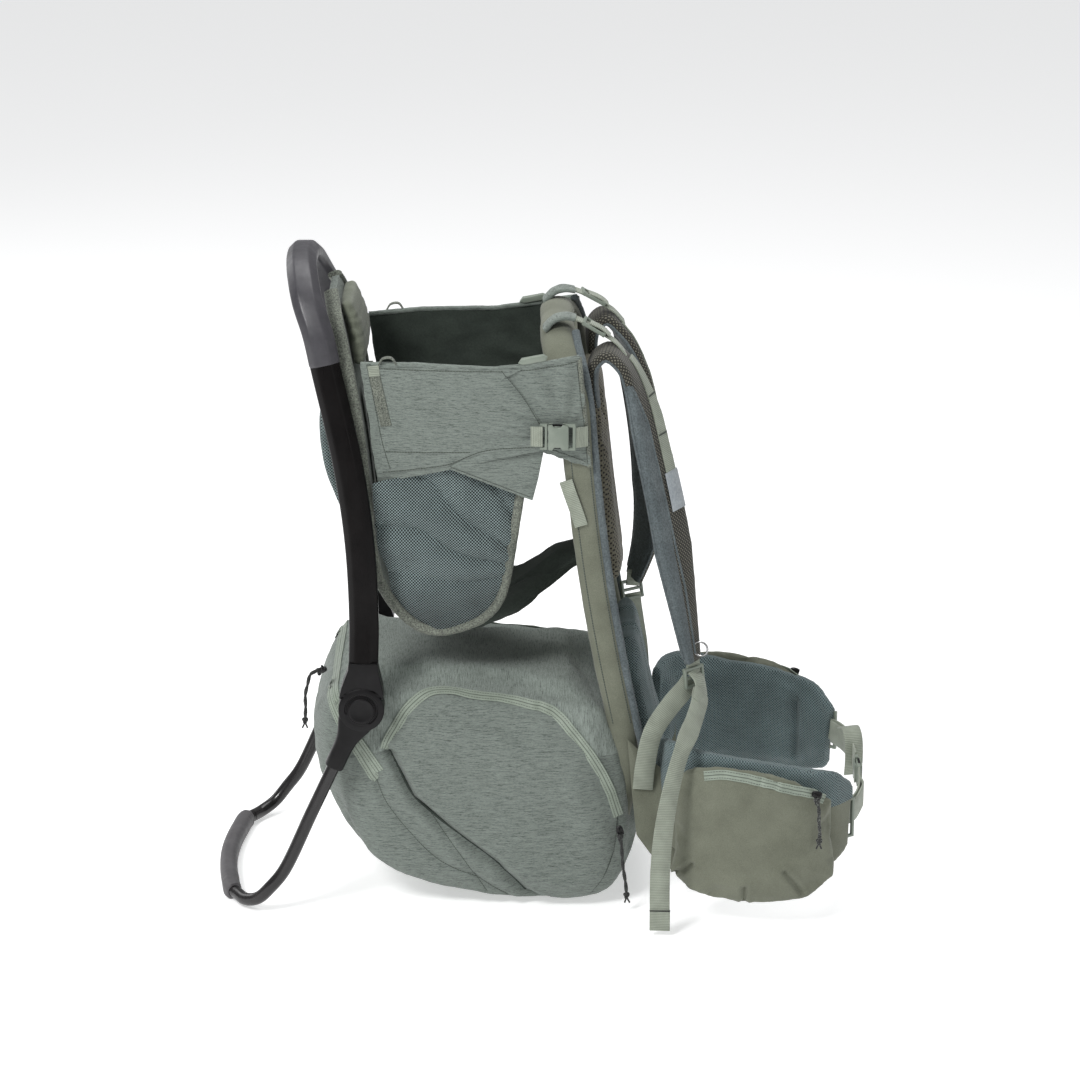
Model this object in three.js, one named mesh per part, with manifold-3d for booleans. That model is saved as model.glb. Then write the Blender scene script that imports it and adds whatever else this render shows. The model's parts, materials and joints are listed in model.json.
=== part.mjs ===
// Framed child carrier backpack, standing on its opened kickstand.
// Millimetres. +X is the wearer's forward, +Y the wearer's left, +Z up. The floor is z = 0, and x = y = 0 is the
// middle of the footprint. "right" is the wearer's right, at negative y.
import * as THREE from "three";
import { mergeVertices } from "three/addons/utils/BufferGeometryUtils.js";
import Module from "manifold-3d";

// ---- driving dimensions -------------------------------------------------------------------------------------
const GAP = 0.4; // clearance between pieces that touch
const HUB = { x: -218, z: 276, r: 28 }; // the kickstand's pivot, seen from the side
const HUB_OUTER = -178; // outer face of the right hub
const HUB_SPLIT = -163; // the plane between the fixed housing and the turning knuckle
const HUB_INNER = -151;
const LEG = { foreAft: 18, lateral: 11 }; // half sizes of the rear leg's section
const STAND = { tube: 8, slope: [-0.418, -0.908], y: -168, socketFrom: 38, socketTo: 84, socketR: 12 };
const FOOT_Z = 11; // height of the foot bar's centre, so that its rubber sleeve meets the floor
const FRONT_TUBE = 13; // radius of the padded front frame tube
const FRONT_Y = 125; // half distance between the front uprights
const BAG_HALF = 148; // half width of the storage bag
const WEBBING = { half: 11, thick: 0.9 }; // 22 mm webbing, half width and half thickness
const BELT_WEB = { half: 15, thick: 1.1 }; // 30 mm hip belt webbing

// The front frame's side view, from its foot to the start of its top arch: height, then how far forward it is.
const FRONT_LINE = [
  [40, 123], [110, 125], [177, 123], [243, 107], [322, 91], [401, 77], [478, 66], [567, 56], [655, 48], [705, 42],
];
// The child's back rest in side view, from the seat to the head.
const BACK_LINE = [
  [392, -187], [415, -196], [450, -204], [551, -212], [651, -225], [734, -242], [778, -256],
];

// ---- colours ------------------------------------------------------------------------------------------------
const paint = (color, roughness, metalness = 0) => new THREE.MeshStandardMaterial({ color, roughness, metalness });
const COLOUR = {
  tube: paint(0x1c1a1b, 0.35, 0.6),
  plastic: paint(0x232123, 0.5),
  arch: paint(0x4a494d, 0.55),
  rubber: paint(0x5c5a5c, 0.6),
  heather: paint(0x6f7d74, 0.9),
  olive: paint(0x74796a, 0.9),
  lining: paint(0x3c463f, 0.95),
  sideMesh: paint(0x55676b, 0.95),
  padMesh: paint(0x4a3f33, 0.95),
  padGrey: paint(0x53656a, 0.95),
  webbing: paint(0x8a9083, 0.85),
  buckle: paint(0x8b9389, 0.5),
  cord: paint(0x1d1f1e, 0.9),
};

// ---- shape helpers ------------------------------------------------------------------------------------------
const v = (x, y, z) => new THREE.Vector3(x, y, z);
const lerp = THREE.MathUtils.lerp;

// Reads a value off a table of [position, value] rows, in a straight line between rows.
function along(table, at) {
  for (let i = 1; i < table.length; i++)
    if (at <= table[i][0] || i === table.length - 1) {
      const [a, va] = table[i - 1];
      const [b, vb] = table[i];
      return lerp(va, vb, THREE.MathUtils.clamp((at - a) / (b - a), 0, 1));
    }
}
const frontX = (z) => along(FRONT_LINE, z);
const backX = (z) => along(BACK_LINE, z);

function geometryOf(vertices, faces) {
  const flat = new Float32Array(vertices.flatMap((p) => [p.x, p.y, p.z]));
  return new THREE.BufferGeometry().setAttribute("position", new THREE.BufferAttribute(flat, 3)).setIndex(faces);
}

// A closed solid through rings of points, each anticlockwise about the direction of travel, with flat ends.
function loft(rings) {
  const n = rings[0].length;
  const vertices = rings.flat();
  const faces = [];
  for (let i = 0; i + 1 < rings.length; i++)
    for (let j = 0; j < n; j++) {
      const a = i * n + j;
      const b = i * n + ((j + 1) % n);
      faces.push(a, b, b + n, a, b + n, a + n);
    }
  for (const [ring, start, turn] of [[rings[0], 0, 1], [rings.at(-1), (rings.length - 1) * n, 0]]) {
    const centre = ring.reduce((sum, p) => sum.add(p), v(0, 0, 0)).divideScalar(n);
    vertices.push(centre);
    for (let j = 0; j < n; j++) {
      const edge = [start + ((j + turn) % n), start + ((j + 1 - turn) % n)];
      faces.push(vertices.length - 1, ...edge);
    }
  }
  return geometryOf(vertices, faces);
}

// A section swept through points. Its first coordinate runs along `across`, its second along travel x across.
function sweep(points, steps, across, section) {
  const curve = new THREE.CatmullRomCurve3(points, false, "centripetal");
  const rings = [];
  for (let i = 0; i <= steps; i++) {
    const t = i / steps;
    const travel = curve.getTangentAt(t);
    const side = across(t).clone();
    side.addScaledVector(travel, -side.dot(travel)).normalize();
    const out = travel.clone().cross(side);
    const at = curve.getPointAt(t);
    rings.push(section(t).map(([p, q]) => at.clone().addScaledVector(side, p).addScaledVector(out, q)));
  }
  return loft(rings);
}

const fixed = (direction) => () => direction;
const turning = (from, to) => (t) => from.clone().lerp(to, t);
const X = v(1, 0, 0);
const Y = v(0, 1, 0);
const Z = v(0, 0, 1);

function round(r, sides = 12) {
  return Array.from({ length: sides }, (_, i) => {
    const a = ((i + 0.5) / sides) * 2 * Math.PI;
    return [r * Math.cos(a), r * Math.sin(a)];
  });
}
const flat = (w, h) => [[-w, -h], [w, -h], [w, h], [-w, h]];
// A flat pad's section, with its edges drawn in.
function pad(w, h) {
  const e = Math.min(w, h) * 0.7;
  return [[-w + e, -h], [w - e, -h], [w, -h * 0.3], [w, h * 0.3], [w - e, h], [-w + e, h], [-w, h * 0.3], [-w, -h * 0.3]];
}

const tube = (points, steps, r, sides, across = X) => sweep(points, steps, fixed(across), () => round(r, sides));
const ribbon = (points, steps, across, web = WEBBING) => sweep(points, steps, across, () => flat(web.half, web.thick));

// A slab that stands in a side view outline [x, z], from y0 to y1, with rounded edges.
function slab(outline, y0, y1, bevel = 0, segments = 2) {
  const shape = new THREE.Shape(outline.map(([x, z]) => new THREE.Vector2(x, z)));
  const made = new THREE.ExtrudeGeometry(shape, {
    depth: Math.abs(y1 - y0) - 2 * bevel,
    bevelEnabled: bevel > 0,
    bevelThickness: bevel,
    bevelSize: bevel,
    bevelOffset: -bevel,
    bevelSegments: segments,
    curveSegments: 8,
  });
  return made.rotateX(Math.PI / 2).translate(0, Math.max(y0, y1) - bevel, 0);
}

// A sheet of even thickness on a surface(u, w), with u and w from 0 to 1.
function skin(surface, nu, nw, thick) {
  const vertices = [];
  const faces = [];
  const step = 1e-3;
  for (const side of [0.5, -0.5])
    for (let i = 0; i <= nu; i++)
      for (let j = 0; j <= nw; j++) {
        const [u, w] = [i / nu, j / nw];
        const du = surface(Math.min(u + step, 1), w).sub(surface(Math.max(u - step, 0), w));
        const dw = surface(u, Math.min(w + step, 1)).sub(surface(u, Math.max(w - step, 0)));
        vertices.push(surface(u, w).addScaledVector(du.cross(dw).normalize(), side * thick));
      }
  const at = (i, j, back = 0) => back * (nu + 1) * (nw + 1) + i * (nw + 1) + j;
  const quad = (a, b, c, d) => faces.push(a, b, c, a, c, d);
  for (let i = 0; i < nu; i++)
    for (let j = 0; j < nw; j++) {
      quad(at(i, j), at(i + 1, j), at(i + 1, j + 1), at(i, j + 1));
      quad(at(i, j, 1), at(i, j + 1, 1), at(i + 1, j + 1, 1), at(i + 1, j, 1));
    }
  for (let i = 0; i < nu; i++) {
    quad(at(i, 0, 1), at(i + 1, 0, 1), at(i + 1, 0), at(i, 0));
    quad(at(i + 1, nw, 1), at(i, nw, 1), at(i, nw), at(i + 1, nw));
  }
  for (let j = 0; j < nw; j++) {
    quad(at(0, j + 1, 1), at(0, j, 1), at(0, j), at(0, j + 1));
    quad(at(nu, j, 1), at(nu, j + 1, 1), at(nu, j + 1), at(nu, j));
  }
  return geometryOf(vertices, faces);
}

// The point so far past the end of a line, straight on.
const beyond = (line, distance) =>
  line.at(-1).clone().addScaledVector(line.at(-1).clone().sub(line.at(-2)).normalize(), distance);

// A disc or pin that lies along y.
const disc = (x, z, r, y0, y1, sides = 32) =>
  new THREE.CylinderGeometry(r, r, Math.abs(y1 - y0), sides).translate(x, (y0 + y1) / 2, z);
const block = (x, y, z, at) => new THREE.BoxGeometry(x, y, z).translate(at.x, at.y, at.z);

// The other side's copy of a piece.
function mirrored(geometry) {
  const made = (geometry.index ? geometry.toNonIndexed() : geometry.clone()).scale(1, -1, 1);
  const p = made.getAttribute("position");
  const a = v(0, 0, 0);
  const b = v(0, 0, 0);
  for (let i = 0; i < p.count; i += 3) {
    a.fromBufferAttribute(p, i);
    b.fromBufferAttribute(p, i + 1);
    p.setXYZ(i, b.x, b.y, b.z);
    p.setXYZ(i + 1, a.x, a.y, a.z);
  }
  return made;
}

// ---- joining and cutting ------------------------------------------------------------------------------------
const wasm = await Module();
wasm.setup();

function solid(geometry) {
  const bare = geometry.clone();
  bare.deleteAttribute("normal");
  bare.deleteAttribute("uv");
  const merged = mergeVertices(bare, 1e-3);
  return new wasm.Manifold(new wasm.Mesh({
    numProp: 3,
    vertProperties: merged.attributes.position.array,
    triVerts: new Uint32Array(merged.index.array),
  }));
}

function geometryFrom(made) {
  const mesh = made.getMesh();
  return new THREE.BufferGeometry()
    .setAttribute("position", new THREE.BufferAttribute(mesh.vertProperties, 3))
    .setIndex(new THREE.BufferAttribute(mesh.triVerts, 1));
}
const join = (...pieces) => geometryFrom(pieces.map(solid).reduce((a, b) => a.add(b)));
const cut = (piece, ...tools) => geometryFrom(tools.map(solid).reduce((a, b) => a.subtract(b), solid(piece)));

// ---- the assembly -------------------------------------------------------------------------------------------
const carrier = new THREE.Group();

function add(name, geometry, colour) {
  const mesh = new THREE.Mesh(geometry, colour);
  mesh.name = name;
  carrier.add(mesh);
}
function addPair(name, geometry, colour) {
  add(name + "_right", geometry, colour);
  add(name + "_left", mirrored(geometry), colour);
}
const bothSides = (points) => [...points, ...points.slice(0, -1).reverse().map((p) => v(p.x, -p.y, p.z))];

// ---- rear frame: two extruded legs under a moulded arch ------------------------------------------------------
const { foreAft: LF, lateral: LL } = LEG;
const legSection = [
  [-LF, -3], [-10, -LL], [8, -LL], [LF, -2], [LF, 6], [12, LL], [-14, LL], [-LF, 6],
];
const legLine = [v(-215, -165, 338), v(-214, -158, 381), v(-218, -149, 478), v(-231, -138, 575), v(-258, -120, 697)];
addPair("rear_leg", sweep(legLine, 12, fixed(X), () => legSection), COLOUR.tube);
add("rear_arch", sweep(
  bothSides([
    beyond(legLine, GAP), beyond(legLine, 38), v(-279, -94, 769), v(-286, -62, 793), v(-289, -28, 802), v(-289.5, 0, 804),
  ]),
  28, fixed(X), () => legSection,
), COLOUR.arch);

// ---- hubs: a fixed housing under each leg, a knuckle that turns on its boss, and a cap ------------------------
const HOUSING_TOP = 335.5;
const BOSS = 8;
function teardrop() {
  const arc = Array.from({ length: 19 }, (_, i) => {
    const a = THREE.MathUtils.degToRad(160 + (i * 220) / 18);
    return [HUB.x + HUB.r * Math.cos(a), HUB.z + HUB.r * Math.sin(a)];
  });
  return [...arc, [-198, 308], [-197, HOUSING_TOP], [-233, HOUSING_TOP], [-236, 308]];
}
addPair("hub_housing", join(
  cut(slab(teardrop(), HUB_OUTER, HUB_INNER, 3), disc(HUB.x, HUB.z, HUB.r + 0.6, HUB_OUTER - 2, HUB_SPLIT - GAP)),
  disc(HUB.x, HUB.z, BOSS, HUB_OUTER + 0.5, HUB_SPLIT + 1, 24),
), COLOUR.plastic);
addPair("hub_cap", disc(HUB.x, HUB.z, 16, HUB_OUTER - 3, HUB_OUTER - GAP), COLOUR.plastic);

// ---- kickstand ----------------------------------------------------------------------------------------------
const onStand = (s, y = STAND.y) => v(HUB.x + STAND.slope[0] * s, y, HUB.z + STAND.slope[1] * s);
function neck() {
  const [dx, dz] = STAND.slope;
  const side = (s, w) => [HUB.x + dx * s - dz * w, HUB.z + dz * s + dx * w];
  return [side(6, 27), side(52, 12.5), side(52, -12.5), side(6, -27)];
}
const knuckle = join(
  disc(HUB.x, HUB.z, HUB.r, HUB_OUTER, HUB_SPLIT - 2 * GAP),
  slab(neck(), HUB_OUTER, HUB_SPLIT - 2 * GAP),
  tube([onStand(STAND.socketFrom), onStand(STAND.socketTo)], 1, STAND.socketR, 16),
);
addPair("kickstand_socket", cut(
  knuckle,
  disc(HUB.x, HUB.z, BOSS + 0.4, HUB_OUTER - 2, HUB_SPLIT + 2, 24),
  tube([onStand(STAND.socketFrom + 10), onStand(STAND.socketTo + 2)], 1, STAND.tube + GAP, 12),
), COLOUR.plastic);
const standLine = [
  onStand(STAND.socketFrom + 11), onStand(150), onStand(238), v(-334, -166, 38), v(-351, -158, 19), v(-368, -143, FOOT_Z),
  v(-379, -126, FOOT_Z),
];
addPair("kickstand_leg", tube(standLine, 22, STAND.tube, 12), COLOUR.tube);
const footLine = bothSides([
  beyond(standLine, GAP), beyond(standLine, 12), v(-391, -86, FOOT_Z), v(-396.5, -43, FOOT_Z), v(-398.5, 0, FOOT_Z),
]);
const footInner = 8;
// The sleeve is flat underneath, where it stands on the floor.
const sleeveSection = [[-4.5, -FOOT_Z], [4.5, -FOOT_Z], [FOOT_Z, -4.5], [FOOT_Z, 4.5], [4.5, FOOT_Z], [-4.5, FOOT_Z], [-FOOT_Z, 4.5], [-FOOT_Z, -4.5]];
const inward = (points, share) => {
  const curve = new THREE.CatmullRomCurve3(points, false, "centripetal");
  return Array.from({ length: 9 }, (_, i) => curve.getPointAt(lerp(share, 1 - share, i / 8)));
};
add("kickstand_foot_bar", tube(footLine, 20, footInner, 12, Z), COLOUR.tube);
add("foot_sleeve", cut(
  sweep(inward(footLine, 0.03), 18, fixed(X), () => sleeveSection),
  tube(footLine, 20, footInner + GAP, 12, Z),
), COLOUR.rubber);

// ---- front frame and base rail ------------------------------------------------------------------------------
const frontRight = FRONT_LINE.map(([z, x]) => v(x, z > 700 ? -118 : -FRONT_Y, z));
add("front_frame", tube(
  bothSides([...frontRight, v(38, -98, 736), v(36, -60, 750), v(35, 0, 754)]), 48, FRONT_TUBE, 10,
), COLOUR.olive);
const railLine = bothSides([
  v(-216, HUB_INNER + GAP, 275), v(-216, -144, 275), v(-211, -137, 273), v(-190, -131, 266), v(-60, -127, 228), v(40, -122, 185),
  v(74, -108, 150), v(84, -78, 112), v(86, -38, 92), v(86, 0, 88),
]);
const RAIL = 8;
add("base_rail", tube(railLine, 64, RAIL, 8, v(0.3, 0.2, 1)), COLOUR.tube);

// ---- storage bag --------------------------------------------------------------------------------------------
const bagOutline = [
  [-246, 303], [-200, 301], [-100, 293], [0, 286], [60, 282], [80, 276], [88, 246], [103, 190], [107, 130], [105, 70],
  [90, 24], [60, 0], [4, 0], [-60, 13], [-125, 30], [-172, 45], [-198, 62], [-228, 108], [-263, 168], [-280, 212],
  [-283, 246], [-272, 282],
];
const railEnd = railLine[0].clone().setY(-BAG_HALF - 10);
const tunnel = tube(
  [railEnd, ...railLine, railEnd.clone().setY(-railEnd.y)], 70, RAIL + 2.6, 8, v(0.3, 0.2, 1),
);
add("storage_bag", cut(slab(bagOutline, -BAG_HALF, BAG_HALF, 14, 3), tunnel), COLOUR.heather);
const pocketOutline = [
  [-200, 200], [-193, 218], [-172, 250], [-141, 273], [-120, 279], [8, 260], [50, 214], [71, 166], [90, 105], [82, 56],
  [60, 22], [31, 14], [8, 14], [-87, 84], [-173, 168],
];
const POCKET_OUTER = BAG_HALF + 7;
addPair("side_pocket", slab(pocketOutline, -POCKET_OUTER, -BAG_HALF - GAP, 3), COLOUR.heather);

// ---- zip sliders, each with its cord pull --------------------------------------------------------------------
const CORD_R = 1.6;
function zipPull(at, hang, out, size = [9, 5, 12]) {
  const slider = block(...size, at);
  const from = at.clone().add(out);
  const to = from.clone().add(hang);
  const cord = tube([from.clone().addScaledVector(hang, -0.04), from.clone().lerp(to, 0.5), to], 4, CORD_R, 6, v(1, 0.1, 0.2));
  const knot = new THREE.SphereGeometry(3.2, 10, 8).translate(to.x, to.y, to.z);
  const lug = block(3, Math.abs(out.y) + 3, Math.abs(out.x) > 1 ? 3 : 4, at.clone().addScaledVector(out, 0.5));
  return join(slider, lug, cord, knot);
}
addPair("side_zip", zipPull(v(99, -BAG_HALF - 3.2, 107), v(9, 0, -82), v(0, -6, -5)), COLOUR.cord);
addPair("hip_zip", zipPull(v(337, -215.6, 181), v(3, 0, -56), v(0, -3.5, -5)), COLOUR.cord);
add("rear_zip", (() => {
  const at = v(-267, -112, 305);
  const slider = block(10, 12, 6, at);
  const cord = tube([v(-268, -112, 306), v(-279, -112, 303), v(-289, -112, 284), v(-291, -112, 236)], 8, CORD_R, 6, Y);
  const knot = new THREE.SphereGeometry(3.2, 10, 8).translate(-291, -112, 236);
  return join(slider, cord, knot);
})(), COLOUR.cord);

// ---- the child's seat ---------------------------------------------------------------------------------------
const backHalf = [[0, 96], [0.12, 106], [0.5, 110], [0.7, 104], [0.88, 88], [1, 52]];
add("child_back_panel", sweep(
  BACK_LINE.map(([z, x]) => v(x, 0, z)), 14, fixed(Y), (t) => pad(along(backHalf, t), 4.5),
), COLOUR.heather);
const HEADREST_OFF = 18;
add("headrest_cushion", sweep(
  [690, 730, 766].map((z) => v(backX(z) + HEADREST_OFF, 0, z)), 5, fixed(Y), (t) => pad(lerp(76, 60, t), 11),
), COLOUR.lining);
const seatHalf = [[0, 92], [0.3, 97], [0.5, 90], [0.68, 52], [0.8, 40], [1, 40]];
add("seat_base", sweep(
  [v(-167, 0, 384), v(-152, 0, 369), v(-124, 0, 357), v(-78, 0, 355), v(-38, 0, 368), v(4, 0, 396), v(40, 0, 424), v(60, 0, 436)],
  18, fixed(Y), (t) => pad(along(seatHalf, t), 11),
), COLOUR.lining);

const WALL = 4;
// The wall runs from the back panel's edge to the outside of the front upright.
const wallTop = [[0, 697], [0.25, 700], [0.6, 698], [0.8, 704], [1, 713]];
const wallBottom = [[0, 548], [0.35, 570], [0.6, 590], [0.78, 596], [1, 576]];
addPair("cockpit_wall", skin((u, w) => {
  const z = lerp(along(wallBottom, u), along(wallTop, u), w);
  const x = lerp(lerp(-188, -208, w), lerp(60, 47, w), u);
  return v(x, -lerp(116, 142, Math.min(1, u * 1.15)) - 7 * Math.sin(Math.PI * u), z);
}, 14, 4, WALL), COLOUR.heather);
// The mesh hangs under the wall and turns in below the seat.
const meshTop = [[0, 545], [0.4, 566], [0.75, 588], [1, 590]];
const meshFoot = [[0, 398], [0.2, 352], [0.45, 336], [0.75, 346], [1, 394]];
addPair("seat_mesh", skin((u, w) => {
  const x = lerp(lerp(-170, -188, Math.min(1, w * 1.6)), lerp(-40, -12, w), u);
  const z = lerp(along(meshFoot, u), along(meshTop, u) - WALL, w);
  const tuck = 18 * (1 - w) ** 3;
  return v(x, -(120 + 12 * Math.sin(Math.PI * u) * Math.sin(Math.PI * Math.min(1, w + 0.2)) - tuck), z);
}, 10, 8, 3), COLOUR.sideMesh);

const FRONT_PANEL = 3.5;
const panelZ = [310, 360, 420, 500, 580, 660, 700, 728];
add("front_panel", sweep(
  panelZ.map((z) => v(frontX(z), 0, z)), 10, fixed(Y),
  (t) => flat(along([[0, 106], [0.85, 106], [0.93, 96], [1, 78]], t), FRONT_PANEL),
), COLOUR.olive);
add("front_bolster", sweep(
  [646, 683, 720].map((z) => v(frontX(z) - 24, 0, z)), 6, fixed(Y), (t) => pad(lerp(100, 80, t), 18),
), COLOUR.olive);

// ---- the child's own harness --------------------------------------------------------------------------------
const childStrap = sweep(
  [v(-212, -46, 652), v(-206, -42, 600), v(-198, -36, 520), v(-190, -32, 462), v(-170, -26, 420), v(-140, -16, 391), v(-122, -9, 384)],
  16, fixed(Y), (t) => flat(lerp(17, 9, t), 2.5),
);
add("child_harness", join(childStrap, mirrored(childStrap), block(10, 34, 5, v(-122, 0, 384))), COLOUR.webbing);
const childBuckleAt = v(-99, 0, 379);
add("child_buckle", cut(
  block(32, 30, 13, childBuckleAt), disc(0, 0, 8.4, -20, 20, 24).rotateX(Math.PI / 2).translate(childBuckleAt.x, 0, childBuckleAt.z + 18),
), COLOUR.plastic);
add("child_button", disc(0, 0, 8, -3.5, 3.5, 24).rotateX(Math.PI / 2).translate(childBuckleAt.x, 0, childBuckleAt.z + 5), COLOUR.arch);

// ---- side release buckles -----------------------------------------------------------------------------------
// The socket is a flat box open at one end. The tongue's three prongs slide into it, and its bar takes the webbing.
const CLIP = { long: 24, wide: 27, thick: 9, wall: 1.6, reach: 18 };
function clipSocket() {
  const inside = block(CLIP.long, CLIP.wide - 2 * CLIP.wall, CLIP.thick - 2 * CLIP.wall, v(-CLIP.wall * 2, 0, 0));
  const bar = cut(block(9, CLIP.wide, 4, v(CLIP.long / 2 + 4, 0, 0)), block(3.5, CLIP.wide - 6, 8, v(CLIP.long / 2 + 4.5, 0, 0)));
  return join(cut(block(CLIP.long, CLIP.wide, CLIP.thick, v(0, 0, 0)), inside), bar);
}
function clipTongue() {
  const root = v(-CLIP.long / 2 - 5.4, 0, 0);
  const plate = cut(block(9, CLIP.wide, 5, root), block(3.5, CLIP.wide - 6, 9, root.clone().add(v(-1, 0, 0))));
  const prong = (y, w) => block(CLIP.reach, w, 3.2, v(-CLIP.long / 2 + CLIP.reach / 2 - 2, y, 0));
  return join(plate, prong(-8, 4), prong(0, 4), prong(8, 4));
}
// Clip length along x, its width up, its thickness sideways.
const standing = (geometry, at, turn = 0) => geometry.rotateX(Math.PI / 2).rotateZ(turn).translate(at.x, at.y, at.z);

const seatClipAt = v(22, -155, 618);
const seatClipTurn = -0.06;
addPair("seat_clip_socket", standing(clipSocket(), seatClipAt, seatClipTurn), COLOUR.buckle);
addPair("seat_clip_tongue", standing(clipTongue(), seatClipAt, seatClipTurn), COLOUR.buckle);

// ---- wearer's harness ---------------------------------------------------------------------------------------
const padHalf = [[0, 84], [0.12, 92], [0.7, 92], [0.82, 50], [1, 46]];
add("back_pad", sweep(
  [406, 450, 510, 570, 630, 672].map((z) => v(frontX(z) + 20, 0, z)), 12, fixed(Y), (t) => pad(along(padHalf, t), 12.5),
), COLOUR.padMesh);
const strapHalf = [[0, 26], [0.2, 31], [0.7, 29], [0.9, 20], [1, 15]];
const strapThick = [[0, 6], [0.12, 8.5], [0.8, 9], [1, 6]];
const strapSection = (t) => pad(along(strapHalf, t), along(strapThick, t));
add("shoulder_strap_right", sweep([
  v(68, -84, 640), v(65, -84, 668), v(70, -84, 694), v(88, -86, 706), v(112, -89, 688), v(134, -93, 642), v(150, -97, 582),
  v(163, -101, 510), v(173, -105, 440), v(182, -108, 370), v(189, -110, 316),
], 26, turning(v(0, 1, 0), v(0.38, 0.92, 0.1)), strapSection), COLOUR.padMesh);
add("shoulder_strap_left", sweep([
  v(68, 84, 640), v(65, 84, 668), v(68, 84, 694), v(82, 84, 703), v(101, 84, 682), v(117, 85, 636), v(129, 86, 582),
  v(138, 87, 520), v(141, 90, 460), v(134, 96, 402), v(121, 104, 352),
], 26, turning(v(0, 1, 0), v(-0.38, 0.92, -0.1)), strapSection), COLOUR.padMesh);

// A ladder lock: a flat frame with two slots for webbing.
function ladderLock(at, turnZ) {
  const slots = [-5, 5].map((z) => block(12, 25, 4, v(0, 0, z)));
  return cut(block(5, 31, 21, v(0, 0, 0)), ...slots).rotateY(-0.12).rotateZ(turnZ).translate(at.x, at.y, at.z);
}
add("shoulder_lock_right", ladderLock(v(190, -111, 299), -0.4), COLOUR.buckle);
add("shoulder_lock_left", ladderLock(v(118, 105, 335), 0.3), COLOUR.buckle);

// Webbing from the pack to the harness; it bends when the harness moves.
addPair("load_lifter", ribbon([v(40, -84, 769), v(58, -85, 752), v(86, -86, 724), v(104, -88, 711)], 5, fixed(Y)), COLOUR.webbing);
add("strap_web_right", ribbon(
  [v(127, -146, 160), v(130, -152, 196), v(139, -152, 238), v(160, -136, 268), v(179, -118, 283)],
  12, turning(X, v(0.4, 1, 0)),
), COLOUR.webbing);
add("strap_web_left", ribbon(
  [v(127, 146, 160), v(130, 151, 196), v(128, 143, 240), v(122, 124, 286), v(117, 107, 319)],
  12, turning(X, v(-0.4, 1, 0)),
), COLOUR.webbing);
add("strap_tail_right", ribbon([
  v(198, -123, 279), v(195, -144, 271), v(186, -176, 256), v(174, -207, 240), v(162, -224, 204), v(152, -230, 150), v(147, -231, 90), v(147, -231, 8),
], 20, turning(v(0.5, 1, 0), v(1.4, -0.1, 0))), COLOUR.webbing);

// Chest strap: the right half carries the socket, the left half the tongue.
const chestRight = v(159, -66, 480);
const chestLeft = v(140, 52, 480);
const chestAt = chestRight.clone().lerp(chestLeft, 0.5);
const chestTurn = Math.atan2(chestRight.y - chestLeft.y, chestRight.x - chestLeft.x);
const chestWeb = { half: 9, thick: 0.9 };
const chestShare = (s) => chestRight.clone().lerp(chestLeft, s);
add("chest_socket", join(
  standing(clipSocket(), chestAt, chestTurn),
  ribbon([chestRight, chestShare(0.38)], 1, fixed(Z), chestWeb),
), COLOUR.buckle);
add("chest_tongue", join(
  standing(clipTongue(), chestAt, chestTurn),
  ribbon([chestShare(0.652), chestShare(0.78)], 1, fixed(Z), chestWeb),
), COLOUR.buckle);

// ---- hip belt -----------------------------------------------------------------------------------------------
add("lumbar_pad", sweep(
  [100, 140, 180, 220, 260, 300, 340].map((z) => v(frontX(z) + 17, 0, z)), 9, fixed(Y),
  (t) => pad(along([[0, 92], [0.15, 104], [0.45, 102], [0.62, 85], [1, 78]], t), 12),
), COLOUR.padGrey);
const wingLine = [v(152, -115, 160), v(168, -149, 158), v(203, -176, 152), v(260, -188, 146), v(316, -184, 138), v(356, -166, 130), v(378, -142, 126)];
const wingHalf = [[0, 60], [0.2, 66], [0.6, 64], [0.85, 56], [1, 40]];
addPair("hip_wing", sweep(wingLine, 16, fixed(Z), (t) => pad(along(wingHalf, t), 9)), COLOUR.padGrey);
const pouchLine = [v(176, -186, 140), v(206, -199, 132), v(260, -206, 126), v(318, -203, 118), v(352, -190, 116)];
const pouchHalf = [[0, 62], [0.25, 88], [0.6, 84], [0.85, 64], [1, 44]];
const pouchThick = [[0, 2.5], [0.25, 6], [0.75, 6], [1, 2.5]];
addPair("hip_pouch", sweep(pouchLine, 14, fixed(Z), (t) => pad(along(pouchHalf, t), along(pouchThick, t))), COLOUR.olive);
const beltWebLine = [v(381, -138, 126), v(394, -108, 126), v(402, -70, 126), v(404.5, -25, 126)];
addPair("hip_web", ribbon(beltWebLine, 8, fixed(Z), BELT_WEB), COLOUR.webbing);
const hipClipAt = v(405, 0, 126);
add("hip_clip_socket", standing(clipSocket(), hipClipAt, -Math.PI / 2), COLOUR.buckle);
add("hip_clip_tongue", standing(clipTongue(), hipClipAt, -Math.PI / 2), COLOUR.buckle);

export default carrier;
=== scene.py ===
"""Looks of the framed child carrier backpack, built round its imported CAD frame.

Shapes are written in millimetres in the CAD's own frame: +X is the wearer's forward, +Y the
wearer's left, +Z up. "right" is the wearer's right, at negative y, the side that the camera sees.
"""

import json
import math

import bmesh
import bpy
import numpy as np
from mathutils import Matrix, Vector, noise
from mathutils.bvhtree import BVHTree

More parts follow.
